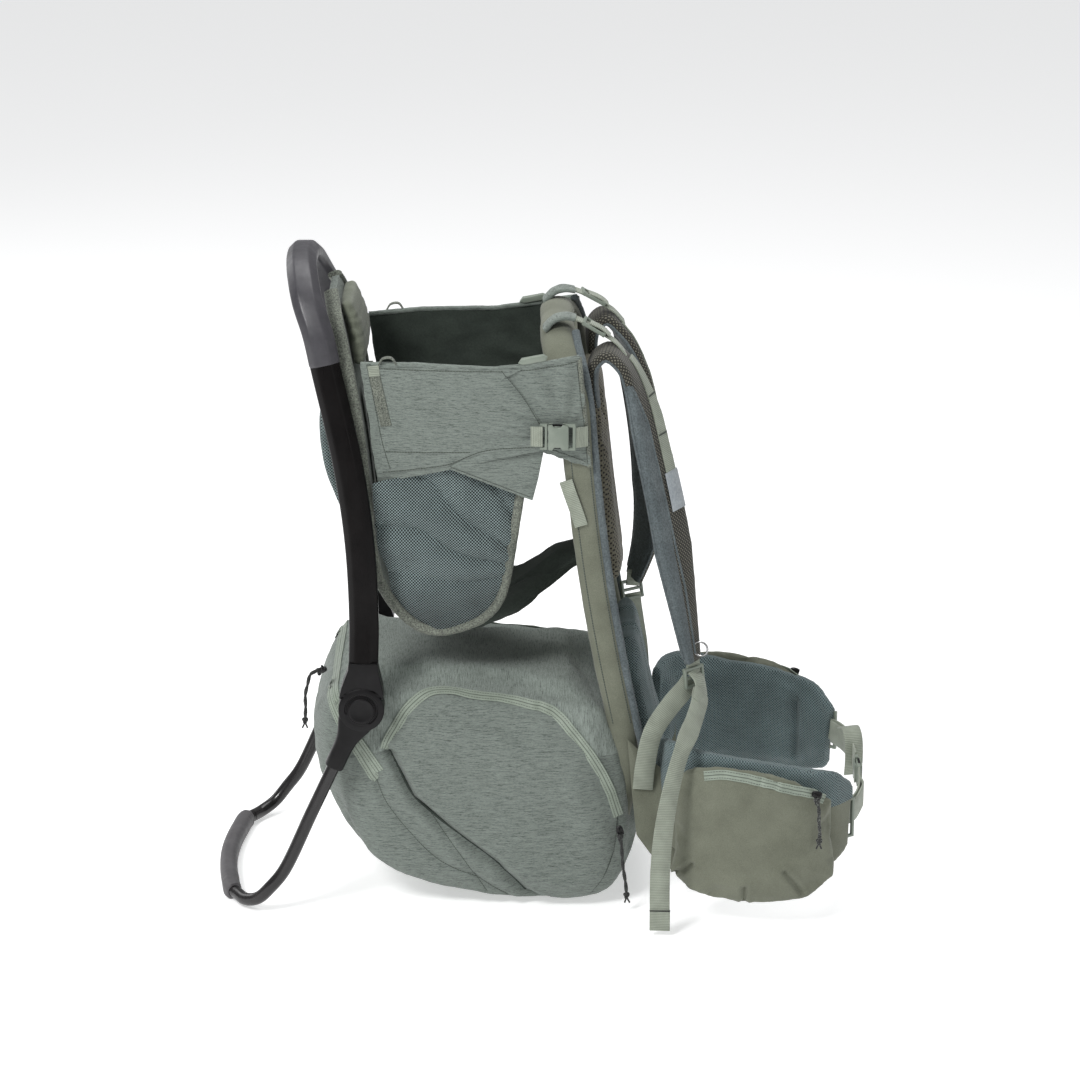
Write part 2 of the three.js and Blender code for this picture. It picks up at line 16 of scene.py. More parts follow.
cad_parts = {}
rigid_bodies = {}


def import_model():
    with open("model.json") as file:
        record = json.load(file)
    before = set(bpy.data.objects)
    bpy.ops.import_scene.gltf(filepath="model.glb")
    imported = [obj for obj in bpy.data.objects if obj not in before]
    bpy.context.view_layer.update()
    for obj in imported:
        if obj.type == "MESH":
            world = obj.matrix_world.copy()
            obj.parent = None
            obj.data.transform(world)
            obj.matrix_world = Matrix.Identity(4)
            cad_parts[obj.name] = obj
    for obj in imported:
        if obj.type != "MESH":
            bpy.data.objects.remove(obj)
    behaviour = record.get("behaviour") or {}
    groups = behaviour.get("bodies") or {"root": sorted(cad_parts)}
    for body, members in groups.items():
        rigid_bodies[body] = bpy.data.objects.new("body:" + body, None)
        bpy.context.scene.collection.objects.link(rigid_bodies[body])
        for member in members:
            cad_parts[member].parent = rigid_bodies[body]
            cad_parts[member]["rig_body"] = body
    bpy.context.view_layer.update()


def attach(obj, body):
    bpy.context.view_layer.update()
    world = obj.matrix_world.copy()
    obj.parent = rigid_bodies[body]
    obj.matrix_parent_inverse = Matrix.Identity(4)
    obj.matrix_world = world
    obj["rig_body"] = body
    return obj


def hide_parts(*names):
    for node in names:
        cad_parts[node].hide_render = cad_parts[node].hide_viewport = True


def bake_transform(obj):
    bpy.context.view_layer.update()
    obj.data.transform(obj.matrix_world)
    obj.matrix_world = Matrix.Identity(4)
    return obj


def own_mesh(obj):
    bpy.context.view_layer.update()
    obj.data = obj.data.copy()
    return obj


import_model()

MM = 0.001
X = Vector((1, 0, 0))
Y = Vector((0, 1, 0))
Z = Vector((0, 0, 1))


def V(x, y, z):
    return Vector((x, y, z))


def lerp(a, b, t):
    return a + (b - a) * t


def along(table, at):
    """Reads a value off rows of (position, value), in a straight line between rows."""
    rows = sorted(table)
    return float(np.interp(at, [r[0] for r in rows], [r[1] for r in rows]))


def eased(table, at, reach=0.07):
    """The same, with the corners between rows rounded off over reach."""
    return sum(along(table, at + reach * k / 4) for k in range(-4, 5)) / 9


# ---- camera, light and floor -------------------------------------------------------------------
CAMERA_ELEVATION = math.radians(18.5)
CAMERA_DISTANCE = 4.8
CAMERA_AIM = 0.436

camera = bpy.data.objects.new("camera", bpy.data.cameras.new("camera"))
camera.data.lens = 128
camera.data.clip_end = 50
camera.location = (
    0,
    -CAMERA_DISTANCE * math.cos(CAMERA_ELEVATION),
    CAMERA_AIM + CAMERA_DISTANCE * math.sin(CAMERA_ELEVATION),
)
camera.rotation_euler = (math.pi / 2 - CAMERA_ELEVATION, 0, 0)
bpy.context.scene.collection.objects.link(camera)
bpy.context.scene.camera = camera
bpy.context.scene.view_settings.view_transform = "Standard"

world = bpy.data.worlds.new("studio")
world.use_nodes = True
world.node_tree.nodes["Background"].inputs["Color"].default_value = (0.97, 0.985, 1.0, 1)
world.node_tree.nodes["Background"].inputs["Strength"].default_value = 0.36
bpy.context.scene.world = world


def softbox(name, place, aim, size, power):
    """A rectangular lamp that faces aim."""
    lamp = bpy.data.lights.new(name, "AREA")
    lamp.shape = "RECTANGLE"
    lamp.size, lamp.size_y = size
    lamp.energy = power
    box = bpy.data.objects.new(name, lamp)
    box.location = place
    box.rotation_euler = (Vector(aim) - Vector(place)).to_track_quat("-Z", "Y").to_euler()
    bpy.context.scene.collection.objects.link(box)


softbox("key", (-1.6, -2.2, 2.9), (0, 0, 0.4), (1.0, 1.0), 88)
softbox("fill", (2.6, -2.4, 1.5), (0, 0, 0.4), (1.8, 1.8), 8)
softbox("top", (0.2, 0.7, 3.0), (0, 0, 0.4), (2.0, 2.0), 46)
softbox("rim", (-2.2, 2.0, 1.6), (0, 0, 0.4), (1.2, 1.8), 16)


# ---- materials ---------------------------------------------------------------------------------
class Look:
    """A material's node tree, with short calls for the nodes that the looks below share."""

    def __init__(self, name, color=(0.5, 0.5, 0.5), **sockets):
        self.material = bpy.data.materials.new(name)
        self.material.use_nodes = True
        self.tree = self.material.node_tree
        self.shader = self.tree.nodes["Principled BSDF"]
        self.set(Base_Color=(*color, 1), **sockets)

    def set(self, **sockets):
        for name, value in sockets.items():
            socket = self.shader.inputs[name.replace("_", " ")]
            if isinstance(value, bpy.types.NodeSocket):
                self.tree.links.new(value, socket)
            else:
                socket.default_value = value

    def node(self, kind, values=(), **props):
        made = self.tree.nodes.new(kind)
        for name, value in props.items():
            setattr(made, name, value)
        for key, value in dict(values).items():
            if isinstance(value, bpy.types.NodeSocket):
                self.tree.links.new(value, made.inputs[key])
            else:
                made.inputs[key].default_value = value
        return made

    def place(self, kind, scale, turn=0.0):
        """The surface's own coordinates, in metres times scale."""
        source = self.node("ShaderNodeTexCoord").outputs[kind]
        turned = self.node(
            "ShaderNodeMapping", {"Vector": source, "Rotation": (0, 0, turn), "Scale": scale}
        )
        return turned.outputs["Vector"]

    def blend(self, factor, a, b):
        return self.node("ShaderNodeMix", {0: factor, 2: a, 3: b}, data_type="FLOAT").outputs[0]

    def wrapped(self):
        """Flat coordinates that follow the piece: across it and up it, whichever way each part faces."""
        source = self.node("ShaderNodeTexCoord").outputs
        x, y, z = self.node("ShaderNodeSeparateXYZ", {0: source["Object"]}).outputs
        facing = self.node("ShaderNodeSeparateXYZ", {0: source["Normal"]}).outputs
        nx, ny, nz = (self.maths("ABSOLUTE", value) for value in facing)
        across = self.blend(self.maths("GREATER_THAN", nx, ny), x, y)
        other = self.maths("SUBTRACT", self.maths("ADD", x, y), across)
        up = self.blend(self.maths("GREATER_THAN", nz, 0.75), z, other)
        return self.node("ShaderNodeCombineXYZ", {0: across, 1: up}).outputs[0]

    def noise(self, vector, scale=1.0, detail=2.0, rough=0.5):
        values = {"Vector": vector, "Scale": scale, "Detail": detail, "Roughness": rough}
        return self.node("ShaderNodeTexNoise", values).outputs["Fac"]

    def cells(self, vector, scale=1.0):
        """Distance to the nearest point of an even grid."""
        values = {"Vector": vector, "Scale": scale, "Randomness": 0.0}
        made = self.node("ShaderNodeTexVoronoi", values, voronoi_dimensions="2D")
        return made.outputs["Distance"]

    def maths(self, operation, a, b=0.0):
        return self.node("ShaderNodeMath", {0: a, 1: b}, operation=operation).outputs[0]

    def ramp(self, value, *stops):
        """A colour, or a grey for a number, for each position of value."""
        made = self.node("ShaderNodeValToRGB", {"Fac": value})
        elements = made.color_ramp.elements
        while len(elements) < len(stops):
            elements.new(0.5)
        for element, (position, color) in zip(elements, stops):
            element.position = position
            element.color = (*color, 1) if isinstance(color, tuple) else (color, color, color, 1)
        return made.outputs["Color"]

    def mix(self, factor, a, b, blend="MIX"):
        values = {0: factor, 6: a, 7: b}
        for key in (6, 7):
            if isinstance(values[key], tuple):
                values[key] = (*values[key], 1)
        return self.node("ShaderNodeMix", values, data_type="RGBA", blend_type=blend).outputs[2]

    def bump(self, height, depth, normal=None):
        """Raises the surface by depth metres where height is 1."""
        values = {"Height": height, "Distance": depth, "Strength": 1.0}
        if normal is not None:
            values["Normal"] = normal
        return self.node("ShaderNodeBump", values).outputs["Normal"]


def heather(name, dark, light, fine):
    """Melange ripstop: thin darker streaks that run across the fine axis."""
    look = Look(name, Roughness=0.88, Sheen_Weight=0.12, Sheen_Roughness=0.5)
    stretch = tuple(2000 if axis == fine else 300 for axis in "xyz")
    broad = tuple(1000 if axis == fine else 85 for axis in "xyz")
    streak = look.noise(look.place("Object", stretch), 1, 3, 0.65)
    drift = look.noise(look.place("Object", broad), 1, 2, 0.5)
    grain = look.noise(look.place("Object", (1500, 1500, 1500)), 1, 1)
    mixed = look.maths("ADD", look.maths("MULTIPLY", streak, 0.55), look.maths("MULTIPLY", drift, 0.45))
    shade = look.ramp(
        mixed, (0.37, dark), (0.48, tuple(lerp(d, l, 0.66) for d, l in zip(dark, light))), (0.62, light)
    )
    speck = look.ramp(grain, (0.35, 0.86), (0.65, 1.05))
    look.set(Base_Color=look.mix(1.0, shade, speck, "MULTIPLY"))
    look.set(Normal=look.bump(grain, 0.0003, look.bump(streak, 0.0005)))
    return look.material


def plain(name, dark, light, rough=0.85, pitch=0.9, sheen=0.15, speckle=0.14):
    """Plain woven cloth with a soft change of shade."""
    look = Look(name, Roughness=rough, Sheen_Weight=sheen, Sheen_Roughness=0.5)
    cloud = look.noise(look.place("Object", (22, 22, 22)), 1, 4, 0.6)
    thread = look.noise(look.place("Object", (1000 / pitch,) * 3), 1, 1)
    shade = look.ramp(cloud, (0.3, dark), (0.7, light))
    speck = look.ramp(thread, (0.3, 1 - speckle * 1.3), (0.7, 1 + speckle * 0.6))
    look.set(Base_Color=look.mix(1.0, shade, speck, "MULTIPLY"))
    look.set(Normal=look.bump(thread, 0.00035))
    return look.material


def spacer(name, thread, hole, pitch, kind="UV", edge=(0.25, 0.42), shade_below=None):
    """Spacer mesh: a diagonal grid of raised threads round small dark holes. Below a given height it can be
    darkened with painted shade.
    """
    look = Look(name, Roughness=0.85, Sheen_Weight=0.2, Sheen_Roughness=0.4)
    if kind == "UV":
        where = look.place("UV", (1000 / pitch, 1000 / pitch, 1), math.pi / 4)
    else:
        where = look.node(
            "ShaderNodeMapping",
            {"Vector": look.wrapped(), "Rotation": (0, 0, math.pi / 4), "Scale": (1000 / pitch,) * 3},
        ).outputs["Vector"]
    near = look.cells(where)
    grain = look.noise(look.place("Object", (900, 900, 900)), 1, 2)
    cloud = look.noise(look.place("Object", (30, 30, 30)), 1, 3)
    lift = look.ramp(near, (edge[0], 0.0), (edge[1], 1.0))
    shade = look.mix(lift, hole, look.mix(grain, thread, tuple(c * 1.5 for c in thread)))
    worn = look.ramp(cloud, (0.3, 0.85), (0.7, 1.12))
    shade = look.mix(1.0, shade, worn, "MULTIPLY")
    # Painted shade: the mesh is darkened below the given height, towards its foot.
    if shade_below:
        height = look.node(
            "ShaderNodeSeparateXYZ", {0: look.node("ShaderNodeTexCoord").outputs["Object"]}
        ).outputs[2]
        low = look.ramp(height, (shade_below - 0.03, 0.4), (shade_below + 0.05, 1.0))
        shade = look.mix(1.0, shade, low, "MULTIPLY")
    look.set(Base_Color=shade)
    look.set(Normal=look.bump(lift, 0.0007))
    return look.material


def webbing(name, dark, light, rib=1.7):
    """Woven strap: ribs across and a diagonal grid. Its UV is metres along and metres across."""
    look = Look(name, Roughness=0.8, Sheen_Weight=0.2, Sheen_Roughness=0.4)
    across = look.place("UV", (1000 / rib, 1000 / rib, 1))
    ribs = look.node(
        "ShaderNodeTexWave", {"Vector": across, "Scale": 0.159, "Distortion": 0.6, "Detail": 0.0}
    ).outputs["Fac"]
    chevron = look.cells(look.place("UV", (1000 / rib, 560 / rib, 1), math.pi / 4))
    cloud = look.noise(look.place("Object", (60, 60, 60)), 1, 3)
    height = look.maths("ADD", look.maths("MULTIPLY", ribs, 0.5), look.maths("MULTIPLY", chevron, 0.7))
    shade = look.mix(look.ramp(height, (0.2, 0.0), (0.75, 1.0)), dark, light)
    worn = look.ramp(cloud, (0.3, 0.86), (0.7, 1.1))
    look.set(Base_Color=look.mix(1.0, shade, worn, "MULTIPLY"))
    look.set(Normal=look.bump(height, 0.0004))
    return look.material


def moulded(name, dark, light, rough, grain_depth=0.00006, **sockets):
    """Moulded plastic or rubber: fine texture, soft change of shade, duller patches."""
    look = Look(name, **sockets)
    cloud = look.noise(look.place("Object", (35, 35, 35)), 1, 5, 0.65)
    speck = look.noise(look.place("Object", (1800, 1800, 1800)), 1, 1)
    smear = look.noise(look.place("Object", (90, 90, 12)), 1, 3)
    look.set(Base_Color=look.ramp(cloud, (0.32, dark), (0.68, light)))
    look.set(Roughness=look.ramp(smear, (0.3, rough - 0.07), (0.7, rough + 0.07)))
    look.set(Normal=look.bump(speck, grain_depth))
    return look.material


def stitches(name, thread, gap, pitch=3.4):
    """A sewn line: short threads with gaps, along the UV's first axis."""
    look = Look(name, Roughness=0.75)
    run = look.node("ShaderNodeSeparateXYZ", {0: look.place("UV", (1000 / pitch, 1, 1))}).outputs[0]
    dash = look.ramp(look.maths("FRACT", run), (0.66, thread), (0.72, gap))
    look.set(Base_Color=dash)
    return look.material


def braid(name, dark, fleck, share):
    """Braided cord with flecks of a second colour."""
    look = Look(name, Roughness=0.8, Sheen_Weight=0.2)
    cells = look.cells(look.place("UV", (900, 700, 1), math.pi / 4))
    pick = look.noise(look.place("Object", (700, 700, 700)), 1, 1)
    flecks = look.ramp(pick, (share - 0.03, dark), (share + 0.03, fleck))
    look.set(
        Base_Color=look.mix(look.ramp(cells, (0.3, 0.0), (0.6, 0.55)), flecks, tuple(c * 0.3 for c in dark))
    )
    look.set(Normal=look.bump(cells, -0.0005))
    return look.material


def zip_tape(name, tape, coil, thread):
    """Zip tape: smooth coated tape, a closed slit down the middle, a row of stitches near each edge."""
    look = Look(name, Roughness=0.55, Sheen_Weight=0.1)
    parts = look.node("ShaderNodeSeparateXYZ", {0: look.place("UV", (1000, 1000, 1))})
    run, side = parts.outputs[0], look.maths("ABSOLUTE", parts.outputs[1])
    slit = look.ramp(look.maths("LESS_THAN", side, 0.55), (0.4, 0.0), (0.6, 1.0))
    row = look.maths("LESS_THAN", look.maths("ABSOLUTE", look.maths("SUBTRACT", side, 3.9)), 0.42)
    dash = look.maths("LESS_THAN", look.maths("FRACT", look.maths("MULTIPLY", run, 0.3)), 0.7)
    cloud = look.noise(look.place("Object", (120, 120, 120)), 1, 3)
    cloth = look.ramp(cloud, (0.3, tuple(c * 0.88 for c in tape)), (0.7, tuple(c * 1.08 for c in tape)))
    sewn = look.mix(look.maths("MULTIPLY", row, dash), cloth, thread)
    look.set(Base_Color=look.mix(slit, sewn, coil))
    look.set(Normal=look.bump(look.maths("ADD", slit, look.maths("MULTIPLY", row, 0.6)), -0.0005))
    return look.material


LOOK = {
    "side": heather("heather_side", (0.066, 0.079, 0.07), (0.208, 0.24, 0.214), "z"),
    # The top heather's streaks run the other way; its greater lightness is painted light, lifting the shade
    # that the seat casts on the bag's top.
    "top": heather("heather_top_painted_light", (0.08, 0.095, 0.084), (0.275, 0.316, 0.283), "x"),
    "olive": plain("olive_nylon", (0.118, 0.126, 0.09), (0.164, 0.174, 0.129)),
    "binding": plain("binding_tape", (0.11, 0.122, 0.1), (0.175, 0.19, 0.155), pitch=1.8, speckle=0.5),
    "blue_edge": plain(
        "blue_grey_edge", (0.066, 0.083, 0.088), (0.115, 0.139, 0.145), pitch=2.2, sheen=0.15, speckle=0.3
    ),
    "lining": plain("dark_lining", (0.018, 0.026, 0.02), (0.035, 0.047, 0.037), pitch=2.2, sheen=0.05),
    "headrest": plain("headrest_cloth", (0.10, 0.112, 0.08), (0.145, 0.158, 0.118), pitch=1.2),
    # The open seat mesh gets painted shade below 0.385 m, towards its foot by the seat.
    "side_mesh": spacer(
        "open_mesh", (0.2, 0.262, 0.258), (0.003, 0.005, 0.006), 2.7, "Object", (0.36, 0.49), 0.385
    ),
    "back_mesh": spacer("back_mesh", (0.12, 0.112, 0.08), (0.01, 0.009, 0.007), 4.4, "Object", (0.2, 0.38)),
    "belt_mesh": spacer(
        "belt_mesh", (0.135, 0.182, 0.185), (0.016, 0.03, 0.032), 2.5, "Object", (0.22, 0.5)
    ),
    "strap_mesh": spacer("strap_mesh", (0.018, 0.017, 0.013), (0.17, 0.163, 0.12), 3.6, "UV", (0.2, 0.3)),
    "webbing": webbing("sage_webbing", (0.18, 0.2, 0.159), (0.318, 0.348, 0.285), 1.1),
    "zip": zip_tape("zip_tape", (0.25, 0.292, 0.238), (0.085, 0.105, 0.08), (0.08, 0.095, 0.076)),
    "seam": stitches("seam_stitches", (0.05, 0.058, 0.048), (0.1, 0.12, 0.1)),
    "arch": moulded("arch_plastic", (0.03, 0.029, 0.034), (0.052, 0.05, 0.057), 0.42, 0.00008),
    "tube": moulded(
        "anodised_tube", (0.003, 0.0024, 0.0024), (0.006, 0.005, 0.005), 0.3, 0.00002,
        Specular_IOR_Level=0.12
    ),
    "hub": moulded(
        "hub_plastic", (0.004, 0.0037, 0.004), (0.008, 0.0075, 0.008), 0.4, Specular_IOR_Level=0.18
    ),
    "stand": moulded("stand_tube", (0.006, 0.005, 0.0055), (0.011, 0.0095, 0.01), 0.24, 0.00002),
    "rubber": moulded("foot_rubber", (0.075, 0.072, 0.075), (0.105, 0.1, 0.105), 0.6, 0.00012),
    "buckle": moulded("sage_acetal", (0.16, 0.19, 0.155), (0.205, 0.235, 0.195), 0.38, 0.00003),
    "steel": moulded("zip_slider_metal", (0.02, 0.02, 0.02), (0.035, 0.035, 0.035), 0.32, Metallic=0.8),
    "ring": moulded("steel_ring", (0.3, 0.3, 0.3), (0.4, 0.4, 0.4), 0.25, Metallic=1.0),
    "cord": braid("black_cord", (0.012, 0.013, 0.012), (0.05, 0.055, 0.05), 0.6),
    "speckled_cord": braid("speckled_cord", (0.016, 0.017, 0.016), (0.17, 0.185, 0.165), 0.6),
    "floor": Look(
        "studio_floor", (0.85, 0.85, 0.85), Roughness=0.9, Emission_Color=(1, 1, 1, 1),
        Emission_Strength=0.45
    ).material,
    "patch": plain("grey_patch", (0.27, 0.3, 0.32), (0.36, 0.39, 0.41), rough=0.5, pitch=2.5),
}


# ---- mesh making -------------------------------------------------------------------------------
def soften(obj, angle=50):
    """Smooth shading, with creases kept where faces meet at more than the angle."""
    mesh = bmesh.new()
    mesh.from_mesh(obj.data)
    limit = math.radians(angle)
    for face in mesh.faces:
        face.smooth = True
    for edge in mesh.edges:
        edge.smooth = len(edge.link_faces) != 2 or edge.calc_face_angle(0) < limit
    mesh.to_mesh(obj.data)
    mesh.free()
    return obj


def make(name, vertices, faces, look, uvs=None):
    """A piece from vertices in millimetres. uvs has one (u, v) in metres for each corner of each face."""
    data = bpy.data.meshes.new(name)
    data.from_pydata([tuple(c * MM for c in p) for p in vertices], [], faces)
    if uvs:
        layer = data.uv_layers.new(name="UVMap")
        layer.data.foreach_set("uv", np.array(uvs, np.float32).ravel())
    data.materials.append(LOOK[look])
    obj = bpy.data.objects.new(name, data)
    bpy.context.scene.collection.objects.link(obj)
    return soften(obj)


def spline(points, steps):
    """Evenly spaced places along a smooth curve through points, with the travel direction at each."""
    pts = [Vector(p) for p in points]
    pts = [pts[0] * 2 - pts[1], *pts, pts[-1] * 2 - pts[-2]]
    dense = []
    for a, b, c, d in zip(pts, pts[1:], pts[2:], pts[3:]):
        ab, bc, cd = (max((q - p).length ** 0.5, 1e-4) for p, q in ((a, b), (b, c), (c, d)))
        m1 = (b - a) / ab - (c - a) / (ab + bc) + (c - b) / bc
        m2 = (c - b) / bc - (d - b) / (bc + cd) + (d - c) / cd
        m1, m2 = m1 * bc, m2 * bc
        for i in range(16):
            t = i / 16
            dense.append(
                b * (2 * t**3 - 3 * t**2 + 1)
                + m1 * (t**3 - 2 * t**2 + t)
                + c * (3 * t**2 - 2 * t**3)
                + m2 * (t**3 - t**2)
            )
    dense.append(pts[-2])
    track = np.array(dense)
    reach = np.concatenate([[0], np.cumsum(np.linalg.norm(np.diff(track, axis=0), axis=1))])
    wanted = np.linspace(0, reach[-1], steps + 1)
    placed = [Vector([np.interp(s, reach, track[:, k]) for k in range(3)]) for s in wanted]
    travel = [
        (placed[min(i + 1, steps)] - placed[max(i - 1, 0)]).normalized() for i in range(steps + 1)
    ]
    return placed, travel


def loft(name, rings, look, uv_across=None, caps=True):
    """A closed form through rings of equal length. Its UV is metres along and metres round."""
    n = len(rings[0])
    vertices = [p for ring in rings for p in ring]
    middle = rings[len(rings) // 2]
    around = [0.0]
    for j in range(n):
        around.append(around[-1] + (middle[(j + 1) % n] - middle[j]).length * MM)
    if uv_across:
        around = [value * MM for value in uv_across]
    centres = [sum(ring, Vector()) / n for ring in rings]
    run = [0.0]
    for a, b in zip(centres, centres[1:]):
        run.append(run[-1] + (b - a).length * MM)
    faces, uvs = [], []
    for i in range(len(rings) - 1):
        for j in range(n):
            k = (j + 1) % n
            faces.append((i * n + j, i * n + k, (i + 1) * n + k, (i + 1) * n + j))
            uvs += [
                (run[i], around[j]), (run[i], around[j + 1]), (run[i + 1], around[j + 1]),
                (run[i + 1], around[j])
            ]
    if caps:
        for start, at, order in ((0, 0, -1), ((len(rings) - 1) * n, -1, 1)):
            vertices.append(centres[at])
            for j in range(n):
                a, b = start + j, start + (j + 1) % n
                faces.append((len(vertices) - 1, a, b) if order > 0 else (len(vertices) - 1, b, a))
                uvs += [(run[at], 0)] * 3
    return make(name, vertices, faces, look, uvs)


def sweep(name, points, steps, across, section, look, uv_across=None):
    """A section swept through points. Its x runs along across, its y along travel x across."""
    places, travels = spline(points, steps)
    rings = []
    for i, (at, travel) in enumerate(zip(places, travels)):
        t = i / steps
        side = across(t) if callable(across) else across
        side = (side - travel * side.dot(travel)).normalized()
        out = travel.cross(side)
        rings.append([at + side * p + out * q for p, q in section(t)])
    return loft(name, rings, look, uv_across)


def oblong(w, h):
    """A rectangle's section, from its half width and half height."""
    return [(-w, -h), (w, -h), (w, h), (-w, h)]


def circle(r, sides=20, squash=1.0):
    return [
        (
            r * math.cos(2 * math.pi * (i + 0.5) / sides),
            r * squash * math.sin(2 * math.pi * (i + 0.5) / sides)
        )
        for i in range(sides)
    ]


def rounded(section, r, cuts=3):
    """A polygon's section with each corner rounded."""
    made = []
    for i, corner in enumerate(section):
        here = Vector((*corner, 0))
        before, after = (Vector((*section[k % len(section)], 0)) for k in (i - 1, i + 1))
        near = min(r, (before - here).length * 0.45, (after - here).length * 0.45)
        a = here + (before - here).normalized() * near
        b = here + (after - here).normalized() * near
        for k in range(cuts + 1):
            t = k / cuts
            p = a * (1 - t) ** 2 + here * 2 * t * (1 - t) + b * t**2
            made.append((p.x, p.y))
    return made


def pad(w, h, edge=0.75, cuts=5):
    """A flat foam pad's section with full round edges and a slight crown."""
    made = []
    for side in (1, -1):
        for i in range(cuts):
            a = -math.pi / 2 + math.pi * i / (cuts - 1)
            made.append((side * (w - h * edge + h * edge * math.cos(a)), side * h * math.sin(a) * 0.86))
        for p in (0.5, 0, -0.5):
            made.append((side * p * w, side * h * lerp(1.0, 0.93, abs(p) * 2)))
    return made


def flat_section(w, h):
    """A webbing's section, with the distance across it at each corner."""
    corners = [(-w, -h * 0.6), (-w * 0.97, -h), (0, -h), (w * 0.97, -h), (w, -h * 0.6)]
    corners += [(-p, -q) for p, q in corners]
    return corners, [p for p, _ in corners] + [corners[0][0]]


def ribbon(name, points, steps, across, half, thick, look):
    """A strap of webbing swept through points."""
    corners, reach = flat_section(half, thick)
    return sweep(name, points, steps, across, lambda t: corners, look, reach)


def turning(a, b):
    """A direction that changes evenly from a to b along a sweep."""
    return lambda t: a.lerp(b, t)


def skin(name, surface, nu, nw, thick, look):
    """A sheet of even thickness on surface(u, w). Its UV is metres along u and along w."""
    grid = [[surface(i / nu, j / nw) for j in range(nw + 1)] for i in range(nu + 1)]
    step = 1e-3
    vertices, uvs, faces = [], [], []
    run = [0.0]
    for i in range(nu):
        run.append(run[-1] + (grid[i + 1][nw // 2] - grid[i][nw // 2]).length * MM)
    rise = [0.0]
    for j in range(nw):
        rise.append(rise[-1] + (grid[nu // 2][j + 1] - grid[nu // 2][j]).length * MM)
    for side in (0.5, -0.5):
        for i in range(nu + 1):
            for j in range(nw + 1):
                u, w = i / nu, j / nw
                du = surface(min(u + step, 1), w) - surface(max(u - step, 0), w)
                dw = surface(u, min(w + step, 1)) - surface(u, max(w - step, 0))
                vertices.append(grid[i][j] + du.cross(dw).normalized() * side * thick)

    def quad(*corners):
        faces.append(tuple(back * (nu + 1) * (nw + 1) + i * (nw + 1) + j for i, j, back in corners))
        uvs.extend((run[i], rise[j]) for i, j, _ in corners)

    for i in range(nu):
        for j in range(nw):
            quad((i, j, 0), (i + 1, j, 0), (i + 1, j + 1, 0), (i, j + 1, 0))
            quad((i, j, 1), (i, j + 1, 1), (i + 1, j + 1, 1), (i + 1, j, 1))
    for i in range(nu):
        quad((i, 0, 1), (i + 1, 0, 1), (i + 1, 0, 0), (i, 0, 0))
        quad((i + 1, nw, 1), (i, nw, 1), (i, nw, 0), (i + 1, nw, 0))
    for j in range(nw):
        quad((0, j + 1, 1), (0, j, 1), (0, j, 0), (0, j + 1, 0))
        quad((nu, j, 1), (nu, j + 1, 1), (nu, j + 1, 0), (nu, j, 0))
    return make(name, vertices, faces, look, uvs)


def outward(obj):
    """Turns all faces of a closed piece to face out."""
    mesh = bmesh.new()
    mesh.from_mesh(obj.data)
    bmesh.ops.recalc_face_normals(mesh, faces=mesh.faces)
    mesh.to_mesh(obj.data)
    mesh.free()
    return obj


def inset_directions(outline):
    """For each (x, z) corner of an outline, the direction that leads inside."""
    area = sum(a[0] * b[1] - b[0] * a[1] for a, b in zip(outline, [*outline[1:], outline[0]]))
    turn = 1 if area > 0 else -1
    made = []
    for i in range(len(outline)):
        a, b = outline[i - 1], outline[(i + 1) % len(outline)]
        tangent = Vector((b[0] - a[0], b[1] - a[1])).normalized()
        made.append((-tangent.y * turn, tangent.x * turn))
    return made


def plate(name, outline, y0, y1, look, edge=1.5, cuts=3):
    """A slab with a side view outline of (x, z), from y0 to y1, with rounded edges."""
    low, high = min(y0, y1), max(y0, y1)
    curve = [
        (edge * (1 - math.sin(a)), edge * (1 - math.cos(a)))
        for a in (math.pi / 2 * k / cuts for k in range(cuts + 1))
    ]
    near = [(low + inset_y, inset) for inset, inset_y in curve]
    far = [(high - inset_y, inset) for inset, inset_y in reversed(curve)]
    inward = inset_directions(outline)
    rings = [
        [V(x + dx * inset, y, z + dz * inset) for (x, z), (dx, dz) in zip(outline, inward)]
        for y, inset in near + far
    ]
    return outward(loft(name, rings, look))


def disc(name, x, z, profile, look, sides=48):
    """A round piece whose axis lies along y. Its profile is (radius, y)."""
    rings = [
        [
            V(x + r * math.cos(2 * math.pi * k / sides), y, z + r * math.sin(2 * math.pi * k / sides))
            for k in range(sides)
        ]
        for r, y in profile
    ]
    return outward(loft(name, rings, look))


def smooth_outline(points, count):
    """An even closed curve through (x, z) points."""
    ring = [V(x, 0, z) for x, z in points]
    places, _ = spline([*ring, *ring[:3]], 400)
    start = min(range(120), key=lambda i: (places[i] - ring[1]).length)
    end = min(range(250, 401), key=lambda i: (places[i] - ring[1]).length)
    loop = places[start:end]
    return [(p.x, p.z) for p in (loop[int(i * len(loop) / count)] for i in range(count))]


def joined(name, *objs):
    """One piece from several."""
    mesh = bmesh.new()
    looks = []
    for obj in objs:
        part = obj.data.copy()
        part.transform(obj.matrix_world)
        for look in part.materials:
            if look not in looks:
                looks.append(look)
        index = [looks.index(look) for look in part.materials]
        before = len(mesh.faces)
        mesh.from_mesh(part)
        mesh.faces.ensure_lookup_table()
        for face in mesh.faces[before:]:
            face.material_index = index[face.material_index]
    data = bpy.data.meshes.new(name)
    mesh.to_mesh(data)
    mesh.free()
    for look in looks:
        data.materials.append(look)
    for obj in objs:
        bpy.data.objects.remove(obj)
    made = bpy.data.objects.new(name, data)
    bpy.context.scene.collection.objects.link(made)
    return made


def mirrored(obj, name):
    """The other side's copy of a piece."""
    data = obj.data.copy()
    data.transform(Matrix.Scale(-1, 4, Y))
    data.flip_normals()
    made = bpy.data.objects.new(name, data)
    bpy.context.scene.collection.objects.link(made)
    return made


def coords(obj):
    values = np.zeros(len(obj.data.vertices) * 3)
    obj.data.vertices.foreach_get("co", values)
    return values.reshape(-1, 3)


def set_coords(obj, values):
    obj.data.vertices.foreach_set("co", np.asarray(values, np.float32).ravel())
    obj.data.update()


